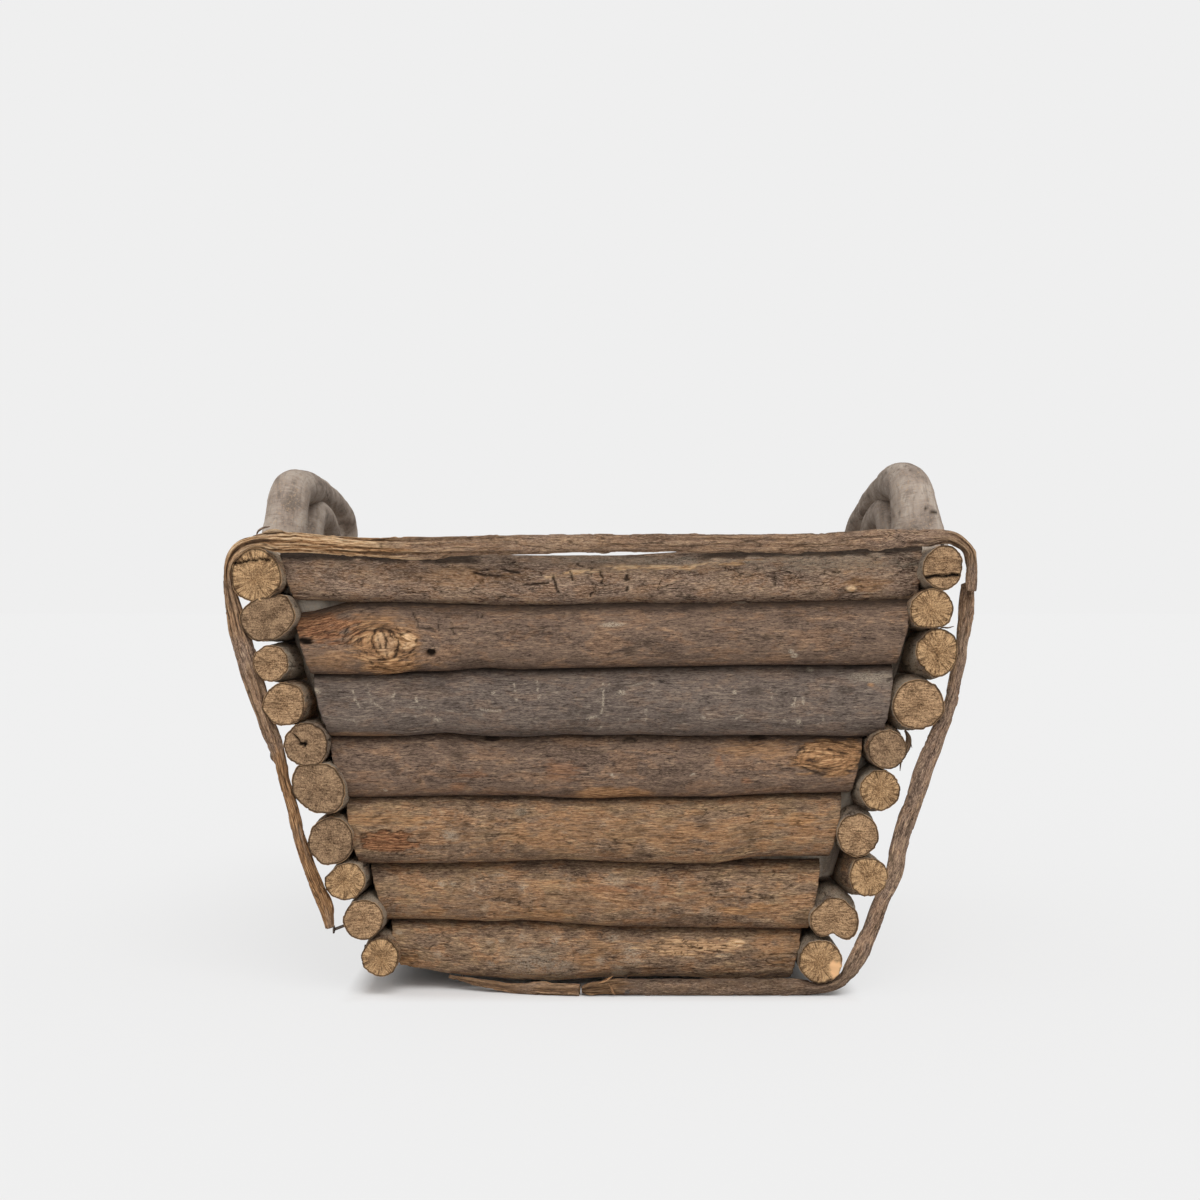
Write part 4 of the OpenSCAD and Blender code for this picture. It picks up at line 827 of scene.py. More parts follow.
        swirl = np.hypot((px - 816) / 2.0, py - 756)
        rings = np.sin(swirl * 1.7 + 2.0 * rag) * wood
        lift += 0.3 * rings + 1.6 * blob(px, py, 816, 756, 26, 14, 0.7)
        add(dark, 0.35 * ease(0.45, 0.95, rings))
        add(dark, 0.5 * ease(1.35, 1.1, eye) * ease(0.85, 1.0, eye) * whole)
        for pts in (((812, 750), (813, 759)), ((802, 751), (800, 762)), ((794, 760), (803, 767), (818, 773), (836, 774.5), (853, 770), (863, 760)),
                    ((796, 752), (803, 746), (815, 742), (829, 742), (844, 746), (861, 751)), ((826, 750), (840, 753), (858, 758)),
                    ((806, 764), (822, 768), (840, 768))):
            crack = line(pts, 1.6)
            add(dark, 0.8 * crack)
            lift -= 0.5 * crack
        edge = ease(0.12, 0.4, wood) * ease(0.9, 0.5, wood)
        add(dark, 0.55 * edge * whole)
        for x, y, rx, ry in ((629, 741, 7, 3.5), (754, 737, 9, 3.5), (494, 737, 8, 4)):
            spot = blob(px, py, x, y, rx, ry, 0.4, 0.3 * rag)
            add(dark, 0.75 * spot)
            lift -= 1.4 * spot
        stump = blob(px, py, 629, 741, 5, 2.6, 0.3)
        lift += 2.2 * stump
        add(dark, 0.5 * blob(px, py, 460, 755, 9, 4.5, 0.5, 0.6 * rag))
        add(dark, 0.6 * blob(px, py, 417, 781, 3.5, 1.8, 0.4))
        for pts in (((506, 746), (530, 754), (560, 762)), ((440, 752), (462, 762)), ((636, 754), (660, 756))):
            add(dark, 0.35 * line(pts, 1.1))
        add(red, 0.45 * blob(px, py, 562, 770, 14, 9, 0.5, 0.8 * rag) + 0.4 * blob(px, py, 470, 775, 13, 5, 0.5, 0.8 * rag)
            + 0.5 * blob(px, py, 718, 762, 3.5, 5, 0.4, 0.4 * rag) + 0.5 * blob(px, py, 748, 780, 5, 2.5, 0.4, 0.4 * rag)
            + 0.4 * blob(px, py, 455, 786, 7, 4, 0.5, 0.6 * rag))
        for x, y in ((613, 775), (381, 790), (693, 774)):
            add(pale, blob(px, py, x, y, 1.8, 1.4, 0.4))
    if k == 4:
        patch = blob(px, py, 385, 842, 28, 11, 0.12, 0.3 * rag) * ease(356, 360, px)
        add(red, patch)
        threads = np.sin(py * 1.9 + 2.0 * rag)
        lift += patch * (0.45 * threads - 0.9)
        add(dark, 0.6 * patch * ease(0.4, 0.95, threads))
        add(dark, 0.8 * ease(0.1, 0.45, patch) * ease(0.9, 0.55, patch))
        for x, y, rx, ry in ((388, 822, 5, 2.5), (467, 824, 5, 2.5), (493, 819, 4, 2), (488, 841, 3, 3), (424, 834, 7, 5),
                             (523, 815, 3, 5), (640, 830, 5, 4), (702, 827, 6, 5), (750, 832, 8, 5), (688, 804, 5, 3), (780, 812, 5, 3),
                             (646, 854, 9, 3)):
            spot = blob(px, py, x, y, rx, ry, 0.5, 0.5 * rag)
            add(dark, 0.42 * spot)
            lift += 0.5 * spot
        add(pale, 0.6 * blob(px, py, 449, 835, 7, 5, 0.5, 0.6 * rag) + 0.55 * blob(px, py, 522, 813, 5, 4, 0.5, 0.6 * rag))
        add(bare, 0.6 * blob(px, py, 380, 820, 38, 5, 0.5, 0.8 * rag) + 0.45 * blob(px, py, 650, 833, 150, 13, 0.6, 1.3 * rag)
            + 0.5 * blob(px, py, 800, 820, 26, 6, 0.5, rag))
        add(dark, 0.5 * line([(450, 798), (480, 801), (515, 797), (560, 799)], 2.2))
    if k == 5:
        for x, y, rx, ry, much in ((443, 884, 4, 2.4, 1), (455, 884, 3.5, 2.2, 1), (524, 887, 4.5, 4, 0.9), (474, 890, 1.8, 1.8, 1),
                                   (470, 896, 2, 1.5, 0.8), (480, 893, 2, 1.5, 0.7), (505, 877, 12, 1.8, 0.7), (474, 882, 2, 4, 0.5),
                                   (614, 882, 10, 4, 0.6), (612, 876, 4, 3, 0.5), (482, 907, 4, 3, 0.5), (655, 886, 4, 6, 0.5),
                                   (707, 912, 5, 5, 0.5), (662, 904, 8, 3, 0.5), (569, 884, 2, 5, 0.5), (680, 884, 3, 3, 0.4)):
            add(pale, 0.7 * much * blob(px, py, x, y, rx, ry, 0.5, 0.8 * rag))
        add(bare, 0.5 * blob(px, py, 432, 912, 9, 3, 0.5, rag) + 0.5 * blob(px, py, 560, 883, 30, 2.5, 0.6, rag)
            + 0.45 * blob(px, py, 540, 914, 22, 5, 0.5, rag) + 0.55 * blob(px, py, 750, 909, 20, 6, 0.5, 1.2 * rag)
            + 0.3 * blob(px, py, 600, 900, 160, 12, 0.6, 1.4 * rag))
        add(red, 0.5 * blob(px, py, 610, 888, 30, 3, 0.6, rag) + 0.4 * blob(px, py, 660, 892, 30, 9, 0.6, 1.3 * rag))
        for pts in (((472, 884), (480, 879), (495, 878)), ((608, 878), (612, 877)), ((672, 878), (676, 878)), ((706, 878), (712, 876)),
                    ((682, 883), (728, 884))):
            add(dark, 0.6 * line(pts, 1.2))
    if k == 6:
        oval = blob(px, py, 537, 964, 34, 15, 0.4, 0.5 * rag)
        add(pale, 0.35 * oval)
        lift += 0.7 * oval
        chip = blob(px, py, 734, 943, 8.5, 4, 0.2, 0.4 * rag)
        add(bare, chip)
        add(pale, 0.8 * chip)
        scales = blob(px, py, 690, 947, 40, 7.5, 0.4, 0.8 * rag)
        cells = veins(np.stack([px * 0.13, py * 0.26, 0 * px], 1), 77, 0.09)
        add(bare, 0.9 * scales * (1 - cells))
        add(pale, 0.4 * scales * (1 - cells))
        add(dark, 0.75 * scales * cells)
        lift -= 0.5 * scales * cells
        add(pale, 0.9 * line([(673, 954), (684, 956), (697, 956)], 2.2) + 0.9 * blob(px, py, 722, 955, 7, 2, 0.4, 0.4 * rag))
        add(bare, 0.7 * blob(px, py, 682, 948, 36, 5.5, 0.4, 1.1 * rag) + 0.5 * blob(px, py, 605, 948, 20, 8, 0.5, 1.1 * rag)
            + 0.5 * blob(px, py, 585, 960, 10, 6, 0.5, 0.8 * rag) + 0.4 * blob(px, py, 775, 948, 15, 12, 0.5, 1.4 * rag)
            + 0.8 * blob(px, py, 401, 962, 11, 9, 0.4, 0.8 * rag))
        threads = np.sin(py * 2.1 + 2.5 * rag) * blob(px, py, 402, 960, 16, 14, 0.4)
        lift += 0.6 * threads
        add(dark, 0.5 * ease(0.4, 0.9, threads))
        for x, y, r in ((490, 942, 2.5), (455, 926, 1.5), (491, 965, 3), (503, 940, 2.5), (555, 941, 3), (432, 937, 1.5), (523, 938, 3),
                        (600, 960, 3), (632, 957, 7), (630, 950, 5), (612, 938, 4), (400, 932, 2), (438, 954, 3), (620, 971, 5)):
            add(pale, 0.5 * blob(px, py, x, y, r * 1.3, r, 0.6, 0.9 * rag))
        for pts in (((650, 945), (690, 944), (700, 950), (720, 952)), ((655, 950), (668, 953)), ((740, 960), (790, 958)), ((740, 965), (790, 966)),
                    ((430, 956), (445, 958)), ((460, 955), (470, 958))):
            add(dark, 0.55 * line(pts, 1.3))
    return lift, {"bare": np.clip(bare, 0, 1), "dark": np.clip(dark, 0, 1), "pale": np.clip(pale, 0, 1),
                  "red": np.clip(red, 0, 1)}


def skin_relief(grain, seed, ridges=0.3, cracks=0.5, crack_size=1.0):
    """Bark's own relief in mm, and how dark its cracks are."""
    long = grain * (0.10, 1.0, 1.0)
    lift = ridges * layers(long * 0.42, seed, 3) + 0.5 * layers(grain * (0.012, 0.06, 0.06), seed + 5, 2)
    lift = lift + ridges * ease(-0.05, 0.1, layers(grain * (0.05, 0.2, 0.2), seed + 6, 3))
    line = veins(grain * (0.035, 0.30, 0.30) / crack_size, seed + 9, 0.06)
    line = line * ease(-0.1, 0.35, layers(grain * (0.02, 0.08, 0.08), seed + 11, 2))
    lift = lift - cracks * line
    return lift, 0.75 * line


def end_relief(stick, grain, seed, deep=0.35):
    """Roughness of a sawn end along the stick's axis, in mm, pointing outwards."""
    angle = np.stack([np.cos(stick.phi) * 3.2, np.sin(stick.phi) * 3.2, stick.rho * 0.9], 1) + seed * 7.1
    rays = layers(angle, seed + 21, 3)
    pores = layers(grain * (0.6, 0.6, 0.6), seed + 22, 2)
    heart = -0.5 * ease(0.22, 0.0, stick.rho)
    return (deep * (0.6 * rays + 0.5 * pores) + heart) * np.abs(stick.cap)


def cheeks(stick, seed, ragged=0.5):
    """How far the rim of an end stands out or back, in mm, along the stick."""
    ring = np.stack([np.cos(stick.phi) * 2.6, np.sin(stick.phi) * 2.6, np.full(len(stick.phi), seed * 3.3)], 1)
    near = np.maximum(ease(0.012, 0.0, stick.t), ease(0.988, 1.0, stick.t))
    return ragged * layers(ring * 3, seed + 3, 3) * near


def front_twig(k):
    """A front twig, k from 0 at the rim, between the edges that the photograph shows."""
    row = END_TWIGS[0][len(FRONT_ENDS) - 1 - k]
    reach, y0, z0, y1, z1, r0, r1, r2, _, _ = row
    stick = Stick("bark_front_twig_%d" % (7 - k), 132, (24, 16) if k < 4 else (19, 15), (0.03, 0.05, 0.09, 0.15, 0.22, 0.24), k + 1,
                  facing=math.pi, crowd=0.4)
    ux_l, lx_l, ux_r, lx_r = FRONT_ENDS[k]
    mid_l, mid_r = (ux_l + lx_l) / 2, (ux_r + lx_r) / 2
    x = mid_l + stick.t * (mid_r - mid_l)
    share = (x + reach) / (2 * reach)
    y = y0 + share * (y1 - y0)
    radius = np.where(share < 0.5, r0 + (r1 - r0) * share * 2, r1 + (r2 - r1) * (share * 2 - 1))
    at_px = PHOTO / 2 + (x - CAMERA_AT[0]) * EDGE_PX_PER_MM
    high = photo_z(np.interp(at_px, JOINT_X, UPPER_EDGE[k]))
    low = photo_z(np.interp(at_px, JOINT_X, LOWER_EDGE[k]))
    cy, cz = np.cos(stick.phi), np.sin(stick.phi)
    z_mid, half = (high + low) / 2, (high - low) / 2
    seed = 100 + 13 * k
    grain = stick.grain(mid_r - mid_l, r1)
    full = stick.grain(mid_r - mid_l, r1, np.ones(len(stick.rho)))
    place = np.stack([x + 0 * cy, y + radius * cy, z_mid + half * cz], 1)
    px, py = pixels(place)
    rag = layers(full * (0.12, 0.5, 0.5), seed + 40, 3)
    lift, marks = front_marks(k, px, py, rag)
    for (kx, ky, wide, high, much) in KNOTS.get(k, ()):
        pull = much * np.exp(-((px - kx) / wide) ** 2 - ((py - ky) / high) ** 2)
        grain[:, 2] += pull * (py - ky) / EDGE_PX_PER_MM
        grain[:, 0] += 0.5 * pull * (kx - px) / EDGE_PX_PER_MM
    own, cracked = skin_relief(full, seed, *((0.32, 0.7) if k in (0, 4, 5, 6) else (0.2, 0.45)))
    below = py - np.interp(px, JOINT_X, UPPER_EDGE[k])
    shade, down = SHADES[k]
    shade = shade * (1 - 0.6 * ease(470, 490, px) * ease(710, 690, px)) if k == 0 else shade
    marks["dark"] = np.maximum(marks["dark"], shade * ease(down + (7 if k == 0 else 11) + 5 * rag, down, below))
    facing = ease(0.1, -0.2, cy)
    lift = (lift * facing + own) * ease(0.0, 0.02, np.minimum(stick.t, 1 - stick.t) + 0.012)
    for key in marks:
        marks[key] = marks[key] * facing
    marks["dark"] = np.maximum(marks["dark"], cracked * (0.9 if k in (0, 4, 5, 6) else 0.6))
    stick.marks = {key: np.where(stick.cap == 0, m, 0) for key, m in marks.items()}
    out_y = (radius + lift) * stick.rho
    out_z = (half + 0.6 * lift) * stick.rho
    dz = out_z * cz
    slope_l, slope_r = (ux_l - lx_l) / (2 * half), (ux_r - lx_r) / (2 * half)
    turn = slope_l * (1 - stick.t) + slope_r * stick.t
    along = end_relief(stick, grain, seed) * stick.cap + cheeks(stick, seed) * np.where(stick.t > 0.5, 1, -1)
    full_y = np.where(cz < 0, np.sign(cy) * np.abs(cy) ** 0.72, cy)
    tuck = (5.5 * ease(0.2, 1.0, cz) - 1.2 * ease(-0.1, -0.8, cz)) * stick.rho * ease(0.3, -0.3, cy)
    places = np.stack([x + dz * turn + along, y + out_y * full_y + tuck, z_mid + dz], 1)
    skins = (rim_bark, dark_bark, slate_bark, dark_bark, brown_bark, brown_bark, brown_bark)
    return stick.finish(places, grain, skins[k], sawn_gold, "front_twig_%d" % (7 - k))


def back_twig(i):
    reach, y0, z0, y1, z1, r0, r1, r2, cut_l, cut_r = END_TWIGS[1][i]
    stick = Stick("bark_back_twig_%d" % (i + 1), 80, (13, 9), (0.04, 0.1, 0.2, 0.3), 20 + i, facing=0.0, crowd=0.2)
    seed = 300 + 13 * i
    x = cut_l + stick.t * (cut_r - cut_l)
    share = (x + reach) / (2 * reach)
    radius = np.where(share < 0.5, r0 + (r1 - r0) * share * 2, r1 + (r2 - r1) * (share * 2 - 1))
    grain = stick.grain(cut_r - cut_l, r1)
    full = stick.grain(cut_r - cut_l, r1, np.ones(len(stick.rho)))
    lift, cracked = skin_relief(full, seed, 0.35, 0.6)
    worn = ease(0.25, 0.8, layers(full * (0.02, 0.07, 0.07), seed + 8, 3))
    stick.marks = {"dark": np.where(stick.cap == 0, cracked, 0), "bare": np.where(stick.cap == 0, 0.5 * worn, 0)}
    r = (radius + lift - 0.3) * stick.rho
    dz = r * np.sin(stick.phi)
    turn = math.tan(LEAN) * np.where(stick.t > 0.5, 1, -1) * np.abs(2 * stick.t - 1)
    along = end_relief(stick, grain, seed) * stick.cap
    places = np.stack([x + dz * turn + along, y0 + share * (y1 - y0) + r * np.cos(stick.phi),
                       z0 + share * (z1 - z0) + dz], 1)
    skin = (brown_bark, side_bark, dark_bark, side_bark, brown_bark, dark_bark, side_bark)[i]
    return stick.finish(places, grain, skin, sawn_wood, "back_twig_%d" % (i + 1))


def face_radius(shape, phi, scale):
    """Radius in mm of an end whose radii in pixels are given every 45 degrees from the right."""
    place = (phi % (2 * math.pi)) / (2 * math.pi) * len(shape)
    k = place.astype(int)
    f = place - k
    f = f * f * (3 - 2 * f)
    shape = np.array(shape)
    return (shape[k % len(shape)] * (1 - f) + shape[(k + 1) % len(shape)] * f) * scale


def side_line(sd, i, t):
    """Middle and radius of a CAD side twig at shares t of its length."""
    x0, y0, z0, x1, y1, z1, r0, rn, r1 = SIDE_TWIGS[sd > 0][i]
    radius = np.where(t < NECK, r0 + (rn - r0) * t / NECK, rn + (r1 - rn) * (t - NECK) / (1 - NECK))
    return x0 + t * (x1 - x0), z0 + t * (z1 - z0), radius


def neighbour(sd, i, other, t):
    """The direction to the next side twig and half of the gap to it, which thick bark fills."""
    x, z, radius = side_line(sd, i, t)
    ox, oz, far = side_line(sd, other, t)
    gap = np.hypot(ox - x, oz - z) - radius - far
    return np.arctan2(oz - z, ox - x), np.clip(gap / 2 + 0.4, 0, 3.8)


def side_twig(sd, i):
    """A side twig; its front end is the sawn face that the photograph shows."""
    x0, y0, z0, x1, y1, z1, r0, rn, r1 = SIDE_TWIGS[sd > 0][i]
    word = "right" if sd > 0 else "left"
    stick = Stick("bark_%s_twig_%d" % (word, i + 1), 104, (11, 8),
                  (0.03, 0.04, 0.05, 0.06, 0.07, 0.07, 0.08, 0.08, 0.08, 0.08, 0.08, 0.09, 0.09),
                  40 + i + (20 if sd > 0 else 0), squeeze=1.5)
    seed = 500 + 17 * i + (400 if sd > 0 else 0)
    t = stick.t
    x, z, radius = side_line(sd, i, t)
    near = ease(0.12, 0.01, t)
    fx, fy, shape = FACES.get((sd, i), (0, 0, None))
    if shape:
        scale = (y0 - CAMERA_AT[1]) / LENS_PX
        radius = radius + near * (face_radius(shape, stick.phi, scale) - radius)
        x = x + near * (CAMERA_AT[0] + (fx - PHOTO / 2) * scale - x0)
        z = z + near * (CAMERA_AT[2] - (fy - PHOTO / 2) * scale - z0)
    for other in (i - 1, i + 1):
        if 0 <= other < 10:
            toward, gap = neighbour(sd, i, other, t)
            radius = radius + ease(0.01, 0.07, t) * gap * np.clip(np.cos(stick.phi - toward), 0, 1) ** 2
    grain = stick.grain(y1 - y0, rn)
    full = stick.grain(y1 - y0, rn, np.ones(len(stick.rho)))
    lift, cracked = skin_relief(full, seed, 0.3, 0.5)
    ring = np.stack([np.cos(stick.phi), np.sin(stick.phi), 0.8 * t], 1)
    lift = lift + 0.3 * layers(ring * 2.1, seed + 2, 3) - 0.3
    dusty = 0.7 * ease(0.2, 0.05, t) * ease(-0.5, 0.2, layers(full * (0.05, 0.1, 0.1), seed + 8, 3))
    stick.marks = {"dark": np.where(stick.cap == 0, cracked, 0), "pale": np.where(stick.cap == 0, dusty, 0)}
    face = (stick.cap < 0) * 1.0
    split = np.zeros(len(t))
    for (a, at, half, reach0, reach1) in END_CRACKS.get((sd, i), ()):
        u = stick.rho * np.cos(stick.phi - a)
        v = stick.rho * np.sin(stick.phi - a) - at
        v = v + 0.035 * layers(np.stack([u * 4, v * 0, t], 1), seed, 3)
        split = np.maximum(split, ease(half, half * 0.3, np.abs(v))
                           * ease(reach0 - 0.05, reach0 + 0.05, u) * ease(reach1 + 0.05, reach1 - 0.05, u))
    stick.marks["dark"] = np.maximum(stick.marks["dark"], split * face)
    step = np.zeros(len(t))
    for (a, at, deep) in END_STEPS.get((sd, i), ()):
        v = stick.rho * np.sin(stick.phi - a) - at + 0.05 * layers(ring * 3, seed + 4, 2)
        step = step + deep * ease(-0.03, 0.03, v)
    r = (radius + lift) * stick.rho
    along = end_relief(stick, grain, seed, 0.45) * stick.cap + cheeks(stick, seed) * np.where(t > 0.5, 1, -1)
    along = along + (2.2 * split + step) * np.where(stick.cap < 0, 1.0, ease(0.02, 0.0, t))
    tilt = r * np.cos(stick.phi) * END_TILT.get((sd, i), 0.0) * ease(0.1, 0.0, t)
    places = np.stack([x + r * np.cos(stick.phi), y0 + t * (y1 - y0) + along + tilt, z + r * np.sin(stick.phi)], 1)
    if (sd, i) == (1, 0):
        px, py = pixels(places)
        stick.marks["pale"] += face * blob(px, py, 835, 969, 5.5, 9, 0.25, 0.25 * layers(grain * 0.4, seed, 2))
    skin = side_bark if (i + (sd > 0)) % 3 else brown_bark
    wood = sawn_gold if (sd, i) in GOLD_ENDS else sawn_dark if (sd, i) in DARK_ENDS else sawn_wood
    return stick.finish(places, grain, skin, wood, "%s_twig_%d" % (word, i + 1))


# Front ends of the side twigs in the photograph: the middle, then the radius every 45 degrees from
# the right and over the top, all in pixels.
FACES = {
    (-1, 9): (255.7, 579.3, (26, 27.9, 33, 28.5, 25, 23.8, 23.1, 22.7)),
    (-1, 8): (267.1, 617.9, (28.2, 28.5, 21, 22.5, 28, 26.3, 23.6, 23.3)),
    (-1, 7): (270, 662.4, (18, 19.4, 18.4, 18, 17.6, 18, 19.2, 18.8)),
    (-1, 6): (284, 705, (21, 23, 22, 22, 22, 21, 21, 22)),
    (-1, 5): (306, 744, (22.6, 22, 22.4, 22, 22.6, 22.6, 22.4, 24)),
    (-1, 4): (317, 788, (27.6, 26.9, 25, 29, 26, 23.4, 25, 31)),
    (-1, 3): (330, 842, (23, 24.2, 24.4, 24, 22.6, 22.7, 24, 24)),
    (-1, 2): (345, 881, (20, 20, 17.5, 16.3, 21, 20.5, 19.6, 20)),
    (1, 9): (943.6, 568.6, (18.6, 22.7, 24.3, 21.7, 22, 20.7, 21.9, 20.2)),
    (1, 8): (931.7, 609.3, (21.9, 21, 20, 19.6, 22.4, 23.4, 19, 22)),
    (1, 7): (936.4, 653.6, (20.3, 24.4, 25.7, 21.6, 19.7, 19.2, 24.3, 21.3)),
    (1, 6): (919, 705, (25.4, 25.5, 25, 26, 26, 25.5, 24, 24)),
    (1, 5): (888, 750, (20, 19.8, 20, 20.5, 19.6, 20, 20, 18.4)),
    (1, 4): (880, 790, (20.5, 20.5, 20.5, 20.5, 20.5, 20.5, 20.5, 20.5)),
    (1, 3): (858, 836, (21, 22, 22.4, 22.6, 21, 21.3, 22, 20.5)),
    (1, 2): (870, 877, (18.6, 19, 18.6, 21.9, 20, 20.6, 20.4, 19.1)),
    (1, 1): (833, 918, (26, 21, 20.4, 18.4, 24, 24.2, 16, 28)),
    (1, 0): (819, 961, (24, 22.7, 21, 21.2, 21, 22, 23, 24.2)),
}
# Cracks in those ends: turn, distance from the heart, half width and reach, as shares of the radius.
END_CRACKS = {
    (-1, 9): ((0.1, 0.62, 0.06, -0.75, 0.6),),
    (-1, 5): ((2.3, 0.12, 0.05, -0.1, 0.8), (0.2, 0.05, 0.1, -0.3, 0.05)),
    (1, 9): ((0.05, -0.36, 0.12, -0.9, 0.85),),
}
# Steps in those ends: turn, distance from the heart as a share of the radius, and depth in mm.
END_STEPS = {(1, 9): ((-0.15, 0.45, -2.0), (0.05, -0.36, 1.2)), (-1, 9): ((0.1, 0.62, 1.2),)}
# How much those ends are turned from square: mm of depth per mm to the right.
END_TILT = {(1, 7): -0.35, (1, 6): -0.12, (1, 2): 0.12, (-1, 4): -0.08}
GOLD_ENDS = {(-1, 9), (-1, 2), (1, 2), (1, 0), (1, 8), (1, 7), (1, 4), (-1, 0)}
DARK_ENDS = {(-1, 8), (-1, 5), (-1, 4), (1, 5), (-1, 3)}


def floor_twig(j):
    x0, x1, y, z0, z1, r = FLOOR_TWIGS[j]
    stick = Stick("bark_floor_twig_%d" % (j + 1), 48, (9, 7), (0.1, 0.3, 0.3), 80 + j)
    seed = 1500 + 11 * j
    grain = stick.grain(x1 - x0, r)
    full = stick.grain(x1 - x0, r, np.ones(len(stick.rho)))
    lift, cracked = skin_relief(full, seed, 0.25, 0.4)
    stick.marks = {"dark": np.where(stick.cap == 0, cracked, 0),
                   "bare": np.where(stick.cap == 0, 0.4 * ease(0.2, 0.7, layers(full * (0.02, 0.08, 0.08), seed + 8, 3)), 0)}
    rr = (r + lift - 0.3) * stick.rho
    places = np.stack([x0 + stick.t * (x1 - x0), y + rr * np.cos(stick.phi),
                       z0 + stick.t * (z1 - z0) + rr * np.sin(stick.phi)], 1)
    skin = (side_bark, dark_bark, brown_bark)[j % 3]
    return stick.finish(places, grain, skin, sawn_wood, "floor_twig_%d" % (j + 1))


def post(name, k):
    """A smooth grey corner post, cut level at both ends. It keeps its place on the inside, where the nails pass through
    it, and is thicker towards the corner, where it shows between the twigs. Its bark is painted lighter than the
    handles' grey bark, as painted light in those shaded gaps."""
    x, y, z, top = POSTS[k]
    radius, floor_top = 16.5, 67.6
    sd = -1 if x < 0 else 1
    sy = 1 if y > 0 else -1
    stick = Stick("bark_" + name, 72, (9, 9), (0.05, 0.1, 0.2, 0.3), 95 + k)
    seed = 1700 + 11 * k
    grain = stick.grain(top - floor_top, radius)
    full = stick.grain(top - floor_top, radius, np.ones(len(stick.rho)))
    lift = 0.4 * layers(full * (0.02, 0.12, 0.12), seed, 3)
    r = (radius + lift - 0.3) * stick.rho
    level = floor_top + stick.t * (top - floor_top)
    along = end_relief(stick, grain, seed) * stick.cap * (stick.t > 0.5)
    cos, sin = np.cos(stick.phi), np.sin(stick.phi)
    swell = 13.0 * ease(-0.3, 0.5, stick.rho * (sd * cos + sy * sin) / math.sqrt(2))
    places = np.stack([x + sd * (level - z) * math.tan(LEAN) + r * cos / math.cos(LEAN) + sd * swell,
                       y + r * sin + sy * swell, level + along], 1)
    return stick.finish(places, grain, post_bark_painted_lit, sawn_wood, name)


def along_path(points, t, steps=6):
    """Places and half thicknesses at shares t of the length of a smooth line through points."""
    p = np.array(points, float)
    ext = np.vstack([2 * p[0] - p[1], p, 2 * p[-1] - p[-2]])
    dense = []
    for k in range(len(p) - 1):
        a, b, c, d = ext[k:k + 4]
        for u in np.arange(steps) / steps:
            dense.append(0.5 * (2 * b + (c - a) * u + (2 * a - 5 * b + 4 * c - d) * u * u
                                + (3 * b - a - 3 * c + d) * u ** 3))
    dense = np.array(dense + [p[-1]])
    run = np.concatenate([[0], np.cumsum(np.linalg.norm(np.diff(dense[:, :3], axis=0), axis=1))])
    at = t * run[-1]
    values = np.stack([np.interp(at, run, dense[:, k]) for k in range(4)], 1)
    ahead = np.stack([np.interp(at + 2, run, dense[:, k]) - np.interp(at - 2, run, dense[:, k]) for k in range(3)], 1)
    return values[:, :3], values[:, 3], ahead / np.linalg.norm(ahead, axis=1)[:, None], run[-1]


def bent(stick, points, side, deep=None):
    """Frame of a bent stick: middle line, unit vectors across and to the side, half thickness."""
    middle, half, ahead, length = along_path(points, stick.t)
    across = np.cross(ahead, side)
    across /= np.linalg.norm(across, axis=1)[:, None]
    over = np.cross(across, ahead)
    thick = half if deep is None else np.full(len(half), deep)
    return middle, across, over, ahead, half, thick, length


def bow(name, points, k):
    """A bent handle bow of smooth grey bark."""
    stick = Stick("bark_" + name, 72, (13, 12), (0.1, 0.3, 0.3), 110 + k)
    middle, across, over, ahead, half, thick, length = bent(stick, points, np.array([1.0, 0, 0]))
    if k % 2:
        top = middle[:, 2].max()
        rise = ease(top - 45, top, middle[:, 2])
        middle = middle + np.outer(rise, (0, 0, 3.5))
        half = half * (1 + 0.16 * rise)
    else:
        half = half * (1 + 0.09 * ease(10, -60, middle[:, 1]) + 0.08 * ease(300, 275, middle[:, 2]) * ease(0, -60, middle[:, 1]))
    seed = 1900 + 23 * k
    grain = stick.grain(length, 11.0)
    full = stick.grain(length, 11.0, np.ones(len(stick.rho)))
    lift = 0.7 * layers(full * (0.03, 0.06, 0.06), seed, 3) + 0.22 * layers(full * (0.5, 0.2, 0.2), seed + 3, 3)
    line = veins(full * (0.05, 0.22, 0.22), seed + 9, 0.06) * ease(0.1, 0.5, layers(full * (0.03, 0.08, 0.08), seed + 7, 2))
    lift = lift - 0.4 * line
    stick.marks = {"dark": 0.6 * line}
    r = (half + lift) * stick.rho
    places = middle + across * (r * np.cos(stick.phi))[:, None] + over * (r * np.sin(stick.phi))[:, None]
    if name == "right_handle_outer_bow":
        slit = stroke(*pixels(places), [(925.5, 509), (936, 513)], 1.9) * (places[:, 1] < middle[:, 1])
        stick.marks["dark"] = np.maximum(stick.marks["dark"], slit)
    return stick.finish(places, grain, grey_bark, sawn_wood, name)


def edge_path(edges, path):
    """The middle line and half thickness of a rod from its outer and inner edge in the photograph,
    at the depth of the nearest place of the CAD rod's line."""
    path = np.array(path)
    points = []
    for ox, oy, ix, iy in edges:
        mx, my = (ox + ix) / 2, (oy + iy) / 2
        y = -205.2
        for _ in range(2):
            scale = (y - CAMERA_AT[1]) / LENS_PX
            x, z = CAMERA_AT[0] + (mx - PHOTO / 2) * scale, CAMERA_AT[2] - (my - PHOTO / 2) * scale
            gap = np.hypot(path[:, 0] - x, path[:, 2] - z)
            near = np.argsort(gap)[:2]
            y = np.average(path[near, 1], weights=1 / (gap[near] + 0.1))
        points.append((x, y, z, math.hypot(ox - ix, oy - iy) / 2 * scale))
    return points


